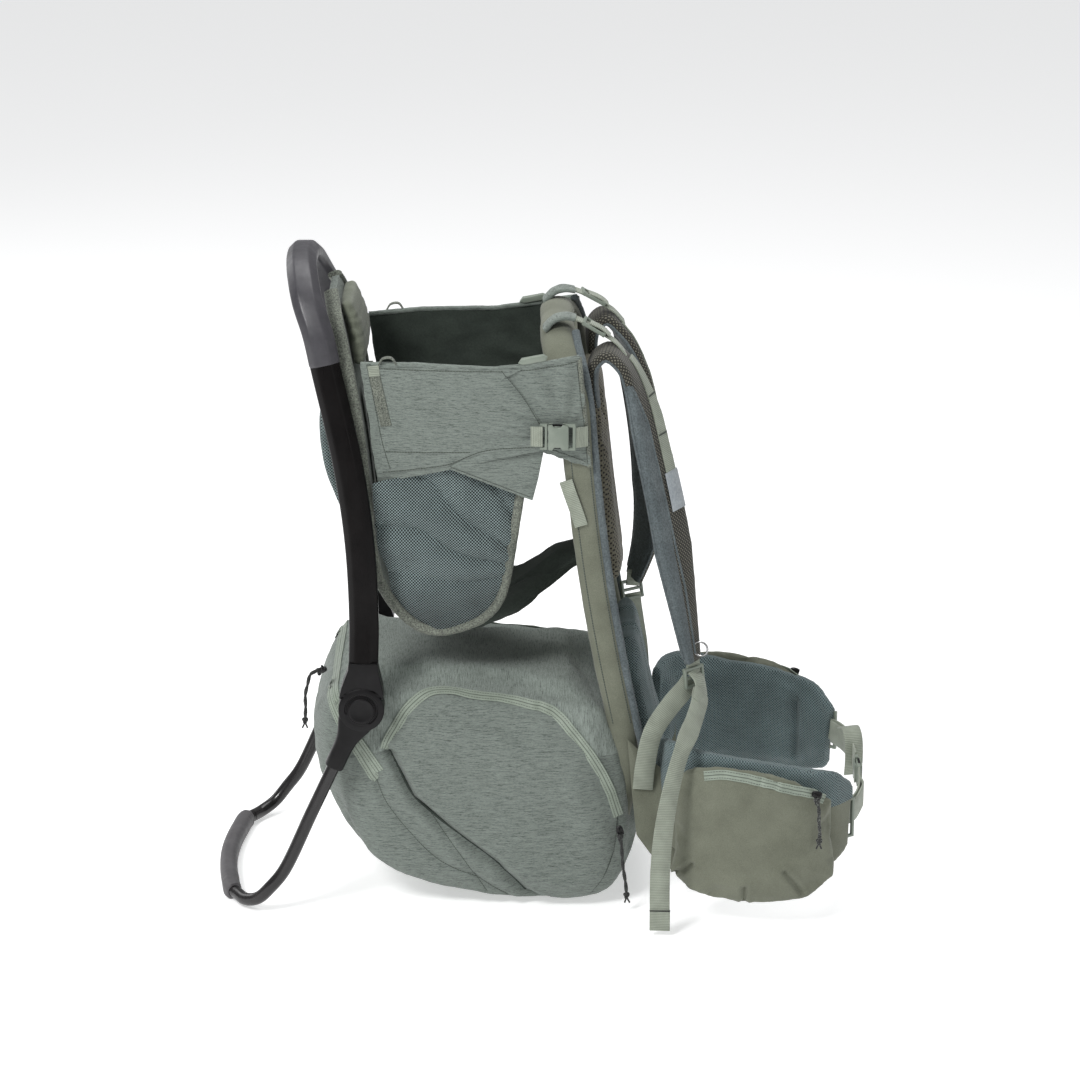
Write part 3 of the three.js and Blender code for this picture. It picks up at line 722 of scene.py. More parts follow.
def applied(obj):
    """Gives the piece the mesh that its modifiers make."""
    graph = bpy.context.evaluated_depsgraph_get()
    data = bpy.data.meshes.new_from_object(obj.evaluated_get(graph))
    obj.modifiers.clear()
    obj.data = data
    return obj


def subdivided(obj):
    step = obj.modifiers.new("smooth", "SUBSURF")
    step.levels = step.render_levels = 1
    return soften(applied(obj), 180)


def stuffed(obj, voxel, cap, pressure=4.0, frames=20, stiff=12.0):
    """Swells a closed form as sewn cloth would swell, each point at most cap millimetres."""
    step = obj.modifiers.new("remesh", "REMESH")
    step.mode = "VOXEL"
    step.voxel_size = voxel * MM
    applied(obj)
    start = coords(obj)
    cloth = obj.modifiers.new("cloth", "CLOTH")
    cloth.settings.use_pressure = True
    cloth.settings.uniform_pressure_force = pressure
    cloth.settings.effector_weights.gravity = 0
    cloth.settings.tension_stiffness = stiff
    cloth.settings.compression_stiffness = stiff
    cloth.point_cache.frame_start = 1
    cloth.point_cache.frame_end = frames
    for f in range(1, frames + 1):
        bpy.context.scene.frame_set(f)
    graph = bpy.context.evaluated_depsgraph_get()
    moved = np.array([v.co for v in obj.evaluated_get(graph).data.vertices])
    obj.modifiers.clear()
    bpy.context.scene.frame_set(1)
    shift = moved - start
    reach = np.linalg.norm(shift, axis=1, keepdims=True)
    set_coords(obj, start + shift * np.minimum(1, cap * MM / np.maximum(reach, 1e-9)))
    return subdivided(obj)


def cushion(name, form, voxel, cap, shape, body, slot, node):
    """A form swelled like a sewn pad, shaped by shape(points, normals), in place of its CAD solid."""
    made = stuffed(form, voxel, cap)
    made.name = name
    push(made, shape)
    place(made, body, slot, node)


def vertex_normals(obj):
    values = np.zeros(len(obj.data.vertices) * 3)
    obj.data.vertices.foreach_get("normal", values)
    return values.reshape(-1, 3)


def push(obj, amount):
    """Moves each vertex along its normal by amount(points in millimetres, normals), in millimetres."""
    at = coords(obj)
    normals = vertex_normals(obj)
    set_coords(obj, at + normals * (amount(at / MM, normals) * MM)[:, None])
    return obj


def ripple(points, scale, seed):
    """Smooth noise from -1 to 1 at each point. scale gives the ripple's size along x, y and z."""
    stretched = points / np.array(scale)
    return np.array([noise.noise(Vector(p) + Vector((seed, seed * 2, 0))) for p in stretched])


def row(p):
    """One point as the table of points that ripple() and from_line() take."""
    return np.array([[p.x, p.y, p.z]])


def from_line(points, line, axes=(0, 2)):
    """Distance from each point to a line of (a, b) places, seen along the third axis."""
    flat = points[:, axes]
    best = np.full(len(flat), 1e9)
    for a, b in zip(line, line[1:]):
        a, b = np.array(a, float), np.array(b, float)
        t = np.clip(((flat - a) @ (b - a)) / max((b - a) @ (b - a), 1e-9), 0, 1)
        best = np.minimum(best, np.linalg.norm(flat - (a + t[:, None] * (b - a)), axis=1))
    return best


def groove(distance, depth, width):
    """A sewn-in valley with a soft swell on each side."""
    return depth * (
        0.35 * np.exp(-(((distance - 2.4 * width) / (1.6 * width)) ** 2))
        - np.exp(-((distance / width) ** 2))
    )


def surface_of(*objs):
    """The pieces' surface, for laying tape and thread on it."""
    points, faces = [], []
    for obj in objs:
        base = len(points)
        points += [obj.matrix_world @ v.co / MM for v in obj.data.vertices]
        faces += [tuple(base + i for i in p.vertices) for p in obj.data.polygons]
    return BVHTree.FromPolygons(points, faces)


def laid(tree, points, look_along, lift=0.0):
    """Points carried along look_along on to the surface, with the surface's direction there."""
    places, normals = [], []
    for p in points:
        hit, normal, _, _ = tree.ray_cast(p - look_along * 400, look_along)
        if hit is None:
            hit, normal, _, _ = tree.find_nearest(p)
        if normal.dot(look_along) > 0:
            normal = -normal
        places.append(hit + normal * lift)
        normals.append(normal)
    soft = [sum(normals[max(0, i - 2) : i + 3], Vector()).normalized() for i in range(len(normals))]
    return places, soft


def band(name, places, normals, section, look, uv_across=None):
    """A section carried along places. Its x lies across the surface and its y stands on it."""
    rings = []
    last = len(places) - 1
    for i, (at, up) in enumerate(zip(places, normals)):
        travel = (places[min(i + 1, last)] - places[max(i - 1, 0)]).normalized()
        side = up.cross(travel).normalized()
        out = travel.cross(side)
        rings.append([at + side * p + out * q for p, q in section])
    return loft(name, rings, look, uv_across)


def laid_line(tree, line, steps, look_along, lift):
    """A smooth line laid on a surface, with the surface's direction along it."""
    return laid(tree, spline(line, steps)[0], look_along, lift)


def seam(name, tree, line, look_along=Y, r=0.55, steps=60, lift=0.15):
    """A sewn line laid on a surface."""
    return band(name, *laid_line(tree, line, steps, look_along, lift), circle(r, 6, 0.7), "seam")


def piping(name, tree, line, look="binding", look_along=Y, r=2.0, steps=70, lift=0.4):
    """A round edge cord laid on a surface."""
    return band(name, *laid_line(tree, line, steps, look_along, lift), circle(r, 10, 0.75), look)


def tape(name, tree, line, half=5.6, look="zip", look_along=Y, steps=70, lift=0.5, thick=0.7):
    """A flat tape laid on a surface, half its width to each side of the line."""
    corners, reach = flat_section(half, thick)
    return band(name, *laid_line(tree, line, steps, look_along, lift), corners, look, reach)


def place(obj, body, slot, *nodes):
    """Sets which body a piece moves with, and hides the CAD nodes it stands for. slot, its finish, is not
    used.
    """
    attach(obj, body)
    if nodes:
        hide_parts(*nodes)
    return obj


def both_sides(points):
    """A line from the right side to the middle, carried on to the left side."""
    return [*points, *reversed(flipped(points[:-1]))]


def beyond(line, distance):
    """A place past the line's last one, in the same direction."""
    return line[-1] + (line[-1] - line[-2]).normalized() * distance


def flipped(points):
    """The same line on the other side."""
    return [V(p.x, -p.y, p.z) for p in points]


def pair(obj, name, bodies, slot, nodes=()):
    """Places a right piece and makes the left one. Each node in nodes has _right and _left forms."""
    left = mirrored(obj, name + "_left")
    obj.name = name + "_right"
    for piece, body, side in ((obj, bodies[0], "_right"), (left, bodies[1], "_left")):
        place(piece, body, slot, *(node + side for node in nodes))
    return obj, left


PACK = ("pack", "pack")


# ---- cords: the right strap's hanging tail and the five zip pulls ------------------------------
TAIL = [
    V(198, -123, 279), V(195, -144, 271), V(186, -176, 256), V(174, -207, 240), V(162, -224, 204),
    V(152, -230, 150), V(147, -231, 90), V(147, -231, 8),
]
TAIL_TURN = turning(V(0.5, 1, 0), V(1.4, -0.1, 0))
tail = ribbon("tail_web", TAIL, 110, TAIL_TURN, 12.3, 0.9, "webbing")
tail_hem = ribbon(
    "tail_hem", [V(147, -231.2, 34), V(147, -231.2, 8)], 8, V(1.4, -0.1, 0), 12.5, 1.9, "webbing"
)
tail_stitch = ribbon(
    "tail_stitch", [V(147, -231.2, 34.6), V(147, -231.2, 33.4)], 2, V(1.4, -0.1, 0), 12.7, 2.1, "cord"
)
tail = joined("strap_tail_right_web", tail, tail_hem, tail_stitch)
place(tail, "harness", "webbing", "strap_tail_right")
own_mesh(tail)

PULL = 3.8  # diameter of a zip's pull cord
SIDE_ZIP = V(99, -151.2, 107)
HIP_ZIP = V(337, -215.6, 181)
REAR_ZIP = V(-267, -112, 305)


def trefoil(name, at, r, thread, look, stretch=1.3):
    """A tied knot in a cord."""
    loop = []
    for i in range(37):
        a = 2 * math.pi * i / 36
        x, y, z = math.sin(a) + 2 * math.sin(2 * a), math.cos(a) - 2 * math.cos(2 * a), -math.sin(3 * a)
        loop.append(at + V(x, z, y * stretch) * (r / 3))
    return sweep(name, loop, 90, lambda t: V(0.2, 1, 0.3), lambda t: circle(thread, 8), look)


def two_strands(t):
    """The outline of two strands twisted round each other."""
    turn = t * 16
    made = []
    for i in range(16):
        a = 2 * math.pi * i / 16
        r = PULL * (0.34 + 0.3 * abs(math.cos(a - turn)))
        made.append((r * math.cos(a), r * math.sin(a)))
    return made


def pull_cord(name, line, look, body):
    """A zip's cord: doubled, hitched to the slider, and tied in a knot with two short tails."""
    top, end = line[0], line[-1]
    hang = (end - line[-2]).normalized()
    wave = [lerp(line[i], line[i + 1], 0.5) + V(0.5, 0, 0.2) * (-1) ** i for i in range(len(line) - 1)]
    track = [line[0]]
    for middle, point in zip(wave, line[1:]):
        track += [middle, point]
    cord = sweep(name, track, 64, lambda t: V(0.3, 1, 0.1), two_strands, look)
    hitch = trefoil(name + "_hitch", top + hang * 3, 3.2, 1.3, look, 1.5)
    knot = trefoil(name + "_knot", end, 3.0, 1.4, look)
    tails = [
        sweep(
            f"{name}_end_{i}",
            [end + hang * 2, end + hang * 6 + V(i * 1.5, 0, 0), end + hang * 10 + V(i * 3.2, 0, 0)],
            8,
            lambda t: V(0, 1, 0.2),
            lambda t: circle(1.1, 8),
            look,
        )
        for i in (-1, 1)
    ]
    trim = joined(name + "_knots", hitch, knot, *tails)
    place(cord, body, "cord")
    place(trim, body, "cord")


def slider(name, at, travel, up, scale=1.0):
    """A zip slider: a waisted body with a bridge over it."""
    travel, up = travel.normalized(), up.normalized()
    side = up.cross(travel).normalized()
    up = travel.cross(side)
    shape = [
        (-6.5, 2.6, 1.0), (-6, 3.8, 1.9), (-2, 4.6, 2.3), (2, 4.3, 2.3), (5, 3.2, 2.0), (6.2, 2.2, 1.1)
    ]
    rings = [
        [at + travel * s * scale + side * p * scale + up * q * scale for p, q in rounded(oblong(w, h), 1.2)]
        for s, w, h in shape
    ]
    body = loft(name, rings, "steel")
    arch = [
        at + travel * s * scale + up * u * scale
        for s, u in ((-4.5, 2), (-4, 4.2), (0, 5.2), (4, 4.2), (4.5, 2))
    ]
    bridge = sweep(name + "_bridge", arch, 14, side, lambda t: circle(1.0 * scale, 8), "steel")
    return joined(name, body, bridge)


def zip_set(name, node, at, lines, travel, up, bodies, look="cord"):
    """The slider and cord of a zip, on one or both sides."""
    for body, end, flip in zip(bodies, ("_right", "_left"), (False, True)):
        turned = (lambda p: V(p.x, -p.y, p.z)) if flip else (lambda p: V(*p))
        head = slider(f"{name}_slider{end}", turned(at), turned(travel), turned(up))
        place(head, body, "cord", node + end if len(bodies) == 2 else node)
        pull_cord(f"{name}_cord{end}", [turned(p) for p in lines], look, body)


zip_set(
    "side_zip", "side_zip", SIDE_ZIP,
    [V(99, -157.2, 103), V(102, -158.4, 75), V(105, -158, 48), V(107.6, -157.2, 22)],
    V(-0.31, 0, 0.95), V(0, -1, 0), ("side_zip_r", "side_zip_l"),
)
zip_set(
    "hip_zip", "hip_zip", HIP_ZIP,
    [V(337, -219.2, 177), V(340, -221, 158), V(341, -220.5, 140), V(341, -219.3, 121)],
    V(-0.9585, 0, 0.2852), V(0, -1, 0.1), ("hip_zip_r", "hip_zip_l"), "speckled_cord",
)
zip_set(
    "rear_zip", "rear_zip", REAR_ZIP,
    [V(-272, -112, 306), V(-283, -112.5, 299), V(-290, -112, 272), V(-291, -112, 238)],
    Y, V(-0.5, 0, 1), ("rear_zip_pull",),
)

# ---- rear frame --------------------------------------------------------------------------------
LEG_SECTION = rounded(
    [(-18, -3), (-10, -11), (8, -11), (18, -2), (18, 6), (12, 11), (-14, 11), (-18, 6)], 2.2
)
LEG_LINE = [
    V(-215, -165.6, 334.6), V(-214, -158, 381), V(-218, -149, 478), V(-231, -138, 575), V(-258, -120, 697)
]
leg = sweep("leg", LEG_LINE, 60, X, lambda t: LEG_SECTION, "tube")
pair(leg, "rear_leg_tube", PACK, "frame_tube", ["rear_leg"])


def arch_section(t):
    grow = 0.99 if min(t, 1 - t) < 0.002 else 1.035
    return [(p * grow, q * grow) for p, q in LEG_SECTION]


arch_line = both_sides(
    [
        beyond(LEG_LINE, 0.4), beyond(LEG_LINE, 38), V(-279, -94, 769), V(-286, -62, 793),
        V(-289, -28, 802), V(-289.5, 0, 804)
    ]
)
arch = sweep("rear_arch_moulding", arch_line, 150, X, arch_section, "arch")
place(arch, "pack", "arch_plastic", "rear_arch")

# ---- hubs and kickstand ------------------------------------------------------------------------
HUB_X, HUB_Z = -218, 276


def on_hub(r, degrees):
    a = math.radians(degrees)
    return (HUB_X + r * math.cos(a), HUB_Z + r * math.sin(a))


neck_sides = [
    (-190.6, 292), (-192, 304), (-195, 318), (-197, 328), (-197.4, 336), (-232.6, 336), (-233.4, 328),
    (-237, 318), (-242, 304), (-245, 292),
]
housing = joined(
    "hub",
    plate("back", [on_hub(28, a) for a in range(150, 391, 8)] + neck_sides, -163, -151, "hub", 1.6),
    plate("front", [on_hub(28.3, a) for a in range(150, 29, -5)] + neck_sides, -177.6, -162.5, "hub", 1.2),
)
pair(housing, "hub_housing_moulding", PACK, "frame_plastic", ["hub_housing"])
cap = disc(
    "cap", HUB_X, HUB_Z,
    [(2, -178.2), (16, -178.2), (16, -179.6), (15.2, -180.4), (13.6, -180.4), (13, -180), (4, -179.8)],
    "hub"
)
pair(cap, "hub_cap_cover", PACK, "frame_plastic", ["hub_cap"])

SLOPE = V(-0.418, 0, -0.908)
ACROSS_STAND = V(0.908, 0, -0.418)


def on_stand(s, y=-168):
    return V(HUB_X, y, HUB_Z) + SLOPE * s


def socket_ring(s, w, h, y):
    return [
        on_stand(s, y) + ACROSS_STAND * p + Y * q for p, q in rounded(oblong(w, h), min(w, h) * 0.95, 5)
    ]


wheel = disc(
    "wheel", HUB_X, HUB_Z,
    [
        (3, -163.8), (27.4, -163.8), (28, -164.4), (28, -177), (27.2, -177.9), (20.6, -178), (19.8, -176.4),
        (18.2, -176.4), (17.4, -178), (3, -178)
    ],
    "hub", 64,
)
neck_shape = [
    (12, 24, 6.9, -170.9), (24, 20.5, 6.9, -170.9), (34, 16.5, 7.6, -170.4), (44, 13.4, 9.6, -169.2),
    (54, 12.2, 11.4, -168.2), (66, 12, 12, -168), (82, 12, 12, -168), (84, 11.2, 11.2, -168),
    (84, 8.6, 8.6, -168), (80, 8.3, 8.3, -168),
]
neck = loft("neck", [socket_ring(*row) for row in neck_shape], "hub")
pair(
    joined("socket", wheel, neck), "kickstand_knuckle", ("kickstand", "kickstand"), "frame_plastic",
    ["kickstand_socket"]
)

STAND_LINE = [
    on_stand(49), on_stand(150), on_stand(238), V(-334, -166, 38), V(-351, -158, 19), V(-368, -143, 11),
    V(-379, -126, 11),
]
stand = sweep("stand", STAND_LINE, 90, X, lambda t: circle(8, 24), "stand")
pair(stand, "kickstand_tube", ("kickstand", "kickstand"), "frame_tube", ["kickstand_leg"])
foot_line = both_sides(
    [
        beyond(STAND_LINE, 0.4), beyond(STAND_LINE, 12), V(-391, -86, 11), V(-396.5, -43, 11),
        V(-398.5, 0, 11)
    ]
)
foot_bar = sweep("foot_bar_tube", foot_line, 70, Z, lambda t: circle(8, 20), "stand")
place(foot_bar, "kickstand", "frame_tube", "kickstand_foot_bar")
SLEEVE = rounded([(-6, -11), (6, -11), (11, -6), (11, 6), (6, 11), (-6, 11), (-11, 6), (-11, -6)], 3.2, 3)


def sleeve_section(t):
    end = min(t, 1 - t)
    grow = (
        0.8
        if end < 0.001
        else 0.94
        if end < 0.012
        else 1 - 0.035 * (abs(math.sin(t * 70)) > 0.92 and end < 0.12)
    )
    return [(p * grow, q if q < -9 else q * grow) for p, q in SLEEVE]


foot_places, _ = spline(foot_line, 200)
sleeve_line = foot_places[6:195:4]
sleeve = sweep("foot_sleeve_rubber", sleeve_line, 170, X, sleeve_section, "rubber")
place(sleeve, "kickstand", "foot_rubber", "foot_sleeve")

# ---- front frame -------------------------------------------------------------------------------
FRONT_LINE = [
    (40, 123), (110, 125), (177, 123), (243, 107), (322, 91), (401, 77), (478, 66), (567, 56), (655, 48),
    (705, 42)
]
BACK_LINE = [(392, -187), (415, -196), (450, -204), (551, -212), (651, -225), (734, -242), (766, -252)]


def front_x(z):
    return along(FRONT_LINE, z)


def back_x(z):
    return along(BACK_LINE, z)


front_track = both_sides(
    [V(98, -108, 96), V(104, -116, 130), V(111, -121, 177), *(V(x, -125, z) for z, x in FRONT_LINE[3:-1])]
    + [V(39, -115, 688), V(32, -92, 709), V(29, -62, 718), V(28, 0, 720)]
)


def upright_section(t):
    top = math.exp(-(((min(t, 1 - t) - 0.42) / 0.09) ** 2))
    reach = 1.4 + 0.3 * top
    return [(p * reach - 7, q * (1.0 + 0.2 * top)) for p, q in circle(13, 28)]


upright = sweep("front_frame_sleeve", front_track, 220, X, upright_section, "olive")
push(upright, lambda at, n: 0.5 * ripple(at, (14, 14, 26), 3))
place(upright, "pack", "smooth_fabric", "front_frame")
upright_tree = surface_of(upright)
for side, end in ((-1, "right"), (1, "left")):
    for dx, kind in ((-17, "a"), (5, "b")):
        line = [V(x + dx, side * 125, z) for z, x in FRONT_LINE[3:-1]]
        sewn = seam(f"upright_seam_{kind}_{end}", upright_tree, line, Y * -side, 0.7, 120)
        place(sewn, "pack", "smooth_fabric")

PIPE_LINE = [
    *(V(front_x(z) + 12, -131, z) for z in (205, 243, 322, 401, 478, 567, 655)),
    V(54, -125, 688), V(47, -105, 712), V(43, -80, 728),
]
pipe = sweep("pipe", PIPE_LINE, 90, Y, lambda t: circle(4.0, 12, 1.3), "blue_edge")
push(pipe, lambda at, n: 0.4 * ripple(at, (6, 6, 9), 8))
pair(pipe, "upright_binding", PACK, "smooth_fabric")

tab = ribbon(
    "tab", [V(31, -140, 558), V(37, -141.5, 540), V(44, -141.5, 520), V(50, -140, 501)], 20, X, 8, 1.0,
    "webbing"
)
pair(tab, "upright_web_tab", PACK, "webbing")

rail_line = both_sides([
    V(-216, -150.6, 275), V(-216, -144, 275), V(-211, -137, 273), V(-190, -131, 266), V(-60, -127, 228),
    V(40, -122, 185), V(74, -108, 150), V(84, -78, 112), V(86, -38, 92), V(86, 0, 88),
])
rail = sweep("base_rail_tube", rail_line, 120, V(0.3, 0.2, 1), lambda t: circle(8, 16), "tube")
place(rail, "pack", "frame_tube", "base_rail")

# ---- storage bag -------------------------------------------------------------------------------
BAG_HALF = 148
BAG_OUTLINE = [
    (-246, 298), (-200, 296), (-100, 291), (0, 280), (60, 274), (82, 264), (95, 240), (108, 205),
    (117, 160), (118, 105), (112, 48), (88, 15), (46, 0), (0, 0), (-60, 3), (-124, 16), (-180, 36),
    (-216, 61), (-245, 104), (-271, 160), (-283, 208), (-283, 246), (-270, 280),
]
FOLD = [(-186, 213), (-156, 150), (-100, 100), (-51, 61), (-18, 21), (0, 6)]
SEAM_NEAR = [(-186, 213), (-168, 173), (-124, 111), (-84, 50), (-66, 20)]
SEAM_REAR = [(-202, 173), (-189, 141), (-162, 104), (-125, 65), (-80, 42), (-40, 14)]
POCKET_ZIP = [
    (-193, 216), (-176, 245), (-158, 270), (-142, 281), (-120, 284), (-73, 278), (-20, 270), (16, 260),
    (52, 222), (81, 172), (97, 124)
]
ZIP_PATH = [(107, 22), (99, 107), (80, 168)]
POCKET_FRONT = [(96, 124), (92, 80), (78, 42), (62, 18)]
REAR_TAPE = [(-262, 282), (-246, 250), (-222, 208), (-202, 173)]
TOP_CLOTH = [
    (-300, 290), (-264, 290), (-246, 255), (-215, 208), (-191, 213), (-158, 270), (-142, 281), (-120, 284),
    (-73, 278), (-20, 270), (16, 260), (52, 222), (62, 205), (140, 205), (140, 340), (-300, 340),
]


def within(point, outline):
    x, z = point
    inside = False
    for (ax, az), (bx, bz) in zip(outline, [*outline[1:], outline[0]]):
        if (az > z) != (bz > z) and x < (bx - ax) * (z - az) / (bz - az) + ax:
            inside = not inside
    return inside


def dress(obj, look, chosen):
    """Gives a second look to the faces that chosen(centre in millimetres, normal) picks."""
    obj.data.materials.append(LOOK[look])
    index = len(obj.data.materials) - 1
    for face in obj.data.polygons:
        if chosen(face.center / MM, face.normal):
            face.material_index = index


bag = plate(
    "storage_bag_shell", smooth_outline(BAG_OUTLINE, 150), -BAG_HALF + 2, BAG_HALF - 2, "side", 15, 8
)
bag = stuffed(bag, 6, 9)
at = coords(bag) / MM
limit = 149 + 4 * np.clip((at[:, 0] + 80) / 40, 0, 1) - 3 * np.exp(-((from_line(at, ZIP_PATH) / 20) ** 2))
at[:, 1] = np.sign(at[:, 1]) * (limit - np.log1p(np.exp((limit - np.abs(at[:, 1])) / 1.5)) * 1.5).clip(0)
set_coords(bag, at * MM)


def bag_shape(at, n):
    side = np.clip((np.abs(n[:, 1]) - 0.45) / 0.4, 0, 1)
    made = groove(from_line(at, FOLD), 7.5, 5.5) * side
    made += groove(from_line(at, SEAM_NEAR), 3.0, 4.0) * side
    made += groove(from_line(at, SEAM_REAR), 3.0, 4.5) * side
    made += groove(from_line(at, REAR_TAPE), 1.2, 8.0) * side
    made += 2.0 * ripple(at, (80, 60, 40), 1) + 1.2 * ripple(at, (34, 26, 18), 5)
    gather = np.exp(-(((at[:, 2] - 268) / 22) ** 2)) * side
    return made + 1.6 * gather * ripple(at, (9, 30, 60), 2)


push(bag, bag_shape)
at = coords(bag) / MM
at[:, 0] += 32 * (np.abs(at[:, 1]) / BAG_HALF) ** 6 * np.clip((-215 - at[:, 0]) / 60, 0, 1)
at[:, 2] = np.maximum(at[:, 2], 1.0)
set_coords(bag, at * MM)
# The bag's top and the band above the pocket's zip take the top heather, which is made lighter as painted
# light.
dress(bag, "top", lambda centre, normal: within((centre.x, centre.z), TOP_CLOTH))
place(bag, "pack", "heather_fabric", "storage_bag")
bag_tree = surface_of(bag)


def draped(name, outline, centre, tree, lift, height, look, rings=26, count=150, look_along=Y, under=1.2):
    """A panel inside an outline, laid over a surface. height(point, t) raises it; t is 1 at its edge."""
    edge = outline if len(outline) >= count else even_outline(outline, count)
    levels, back = [], []
    for k in range(rings + 1):
        t = 1 - (k / rings) * 0.985
        points = [V(lerp(centre[0], x, t), 0, lerp(centre[1], z, t)) for x, z in edge]
        seat, _ = laid(tree, [p - look_along * 300 for p in points], look_along)
        levels.append([s - look_along * (lift + height(p, t)) for s, p in zip(seat, points)])
        if k % 2 == 0:
            back.append([s + look_along * under for s in seat])
    return outward(loft(name, [*reversed(back), *levels], look))


def even_outline(points, count):
    """The same outline with count evenly spaced corners."""
    loop = np.array([*points, points[0]], float)
    reach = np.concatenate([[0], np.cumsum(np.linalg.norm(np.diff(loop, axis=0), axis=1))])
    wanted = np.linspace(0, reach[-1], count, endpoint=False)
    return list(zip(np.interp(wanted, reach, loop[:, 0]), np.interp(wanted, reach, loop[:, 1])))


POCKET = [*POCKET_ZIP, *POCKET_FRONT[1:], (30, 5), *reversed(FOLD[:-1])]


def billow(p, t):
    at = row(p)
    lip = math.exp(-((from_line(at, FOLD)[0] / 30) ** 2))
    rise = lerp(6.5 * (1 - t**5), 9.5 * (1 - t**16), lip) + 1.2 * (1 - t**2)
    ridge = math.exp(-((from_line(at, [(-160, 196), (-75, 112), (10, 36)])[0] / 11) ** 2))
    ridge += 0.7 * math.exp(-((from_line(at, [(40, 190), (62, 110), (50, 40)])[0] / 15) ** 2))
    folds = 1.6 * ripple(at, (70, 1, 30), 4)[0] + 0.8 * ripple(at, (24, 1, 11), 9)[0]
    gather = 1.1 * math.exp(-(((p.z - 258) / 18) ** 2)) * ripple(at, (8, 1, 60), 6)[0] * (p.x > -40)
    return (rise + (4.6 * ridge + 1.7 * folds + 2.4 * gather) * (1 - t**6)) * 0.8


pocket = draped("pocket", POCKET, (-20, 150), bag_tree, 0.8, billow, "side", 34, 190)
at = coords(pocket) / MM
deepest = (
    -157.2
    - 8.8 * np.clip((at[:, 0] + 60) / 40, 0, 1)
    + 17 * np.exp(-((from_line(at, ZIP_PATH) / 18) ** 2))
)
at[:, 1] = np.clip(at[:, 1], deepest, -60)
set_coords(pocket, at * MM)
pair(pocket, "side_pocket_panel", PACK, "heather_fabric", ["side_pocket"])
side_tree = surface_of(bag, bpy.data.objects["side_pocket_panel_right"])


def side_line(points, y=-150):
    return [V(x, y, z) for x, z in points]


pair(
    tape("zip", side_tree, side_line(POCKET_ZIP), 6.4, steps=150, lift=1.3), "pocket_zip_tape", PACK,
    "smooth_fabric"
)
pair(
    tape("zip", side_tree, side_line(REAR_TAPE), 6.2, steps=70, lift=1.2), "rear_zip_side_tape", PACK,
    "smooth_fabric"
)
# A dark cord in the lining look along the pocket's lip: painted shadow under the pocket's overlapping edge.
pair(
    piping("mouth", bag_tree, side_line(FOLD[:-1]), "lining", r=1.9, steps=110), "pocket_lip_painted_shadow", PACK,
    "lining_fabric"
)
for name, tree, outline, steps in (
    ("bag_seam_rear", bag_tree, SEAM_REAR, 90), ("bag_seam_near", bag_tree, SEAM_NEAR, 90),
    ("pocket_front_seam", side_tree, POCKET_FRONT, 60),
):
    pair(seam("seam", tree, side_line(outline), steps=steps), name, PACK, "heather_fabric")
rear_line = [V(-262, -150, 282), V(-264, -135, 296), V(-264, -100, 300), V(-265, 0, 302)]
rear_line = both_sides(rear_line)
places, normals = laid(bag_tree, spline(rear_line, 120)[0], V(0.55, 0, -0.83), 0.6)
corners, reach = flat_section(6.4, 0.7)
rear_tape = band("rear_zip_tape", places, normals, corners, "zip", reach)
place(rear_tape, "pack", "smooth_fabric")

# ---- the child's back rest and head pad --------------------------------------------------------
BACK_HALF = [(0, 96), (0.12, 106), (0.5, 110), (0.72, 104), (0.9, 84), (1, 40)]
back_track = [V(x, 0, z) for z, x in BACK_LINE]
back = sweep("child_back_panel_cloth", back_track, 70, Y, lambda t: pad(eased(BACK_HALF, t), 5), "side")
push(back, lambda at, n: 0.7 * ripple(at, (30, 40, 40), 6))
place(back, "pack", "heather_fabric", "child_back_panel")

EDGE_LINE = [
    V(-253, -42, 768), V(-246, -78, 742), V(-233, -104, 690), V(-221, -113, 620), V(-213, -117, 551),
    V(-207, -119, 480), V(-198, -118, 430), V(-185, -113, 400), V(-168, -109, 376), V(-146, -108, 359),
    V(-122, -108, 354), V(-94, -108, 360), V(-68, -107, 372), V(-50, -108, 394), V(-41, -110, 424),
    V(-33, -117, 475), V(-24, -124, 535), V(-15, -129, 588),
]
edge = sweep(
    "edge", EDGE_LINE, 240, Y, lambda t: circle(4.6, 16, lerp(2.0, 1.25, min(1, t * 1.4))), "binding"
)
push(edge, lambda at, n: 0.5 * ripple(at, (5, 5, 9), 12))
pair(edge, "back_binding", PACK, "smooth_fabric")

rear_track = [
    V(-249, 0, 690), V(-258, 0, 655), V(-262, 0, 610), V(-256, 0, 555), V(-243, 0, 510), V(-230, 0, 484)
]
rear_pocket = sweep(
    "rear_pocket_mesh", rear_track, 50, Y,
    lambda t: pad(72 + 12 * math.sin(math.pi * t), 3 + 4.5 * math.sin(math.pi * t)), "side_mesh"
)
push(rear_pocket, lambda at, n: 1.6 * ripple(at, (40, 30, 26), 7))
place(rear_pocket, "pack", "side_mesh")
hem = sweep(
    "rear_pocket_hem", [V(-249, y, 692) for y in (-74, -40, 0, 40, 74)], 40, Z,
    lambda t: circle(4.5, 12, 0.6), "binding"
)
place(hem, "pack", "smooth_fabric")

head = sweep(
    "head", [V(back_x(z) + 14, 0, z) for z in (684, 724, 758)], 24, Y, lambda t: pad(lerp(80, 56, t), 8),
    "headrest"
)
cushion(
    "headrest_cushion_pad", head, 5, 4,
    lambda at, n: groove(np.abs((at[:, 2] - 728) % 22 - 11), 0.8, 2.2) + 0.3 * ripple(at, (20, 20, 20), 4),
    "pack", "lining_fabric", "headrest_cushion",
)

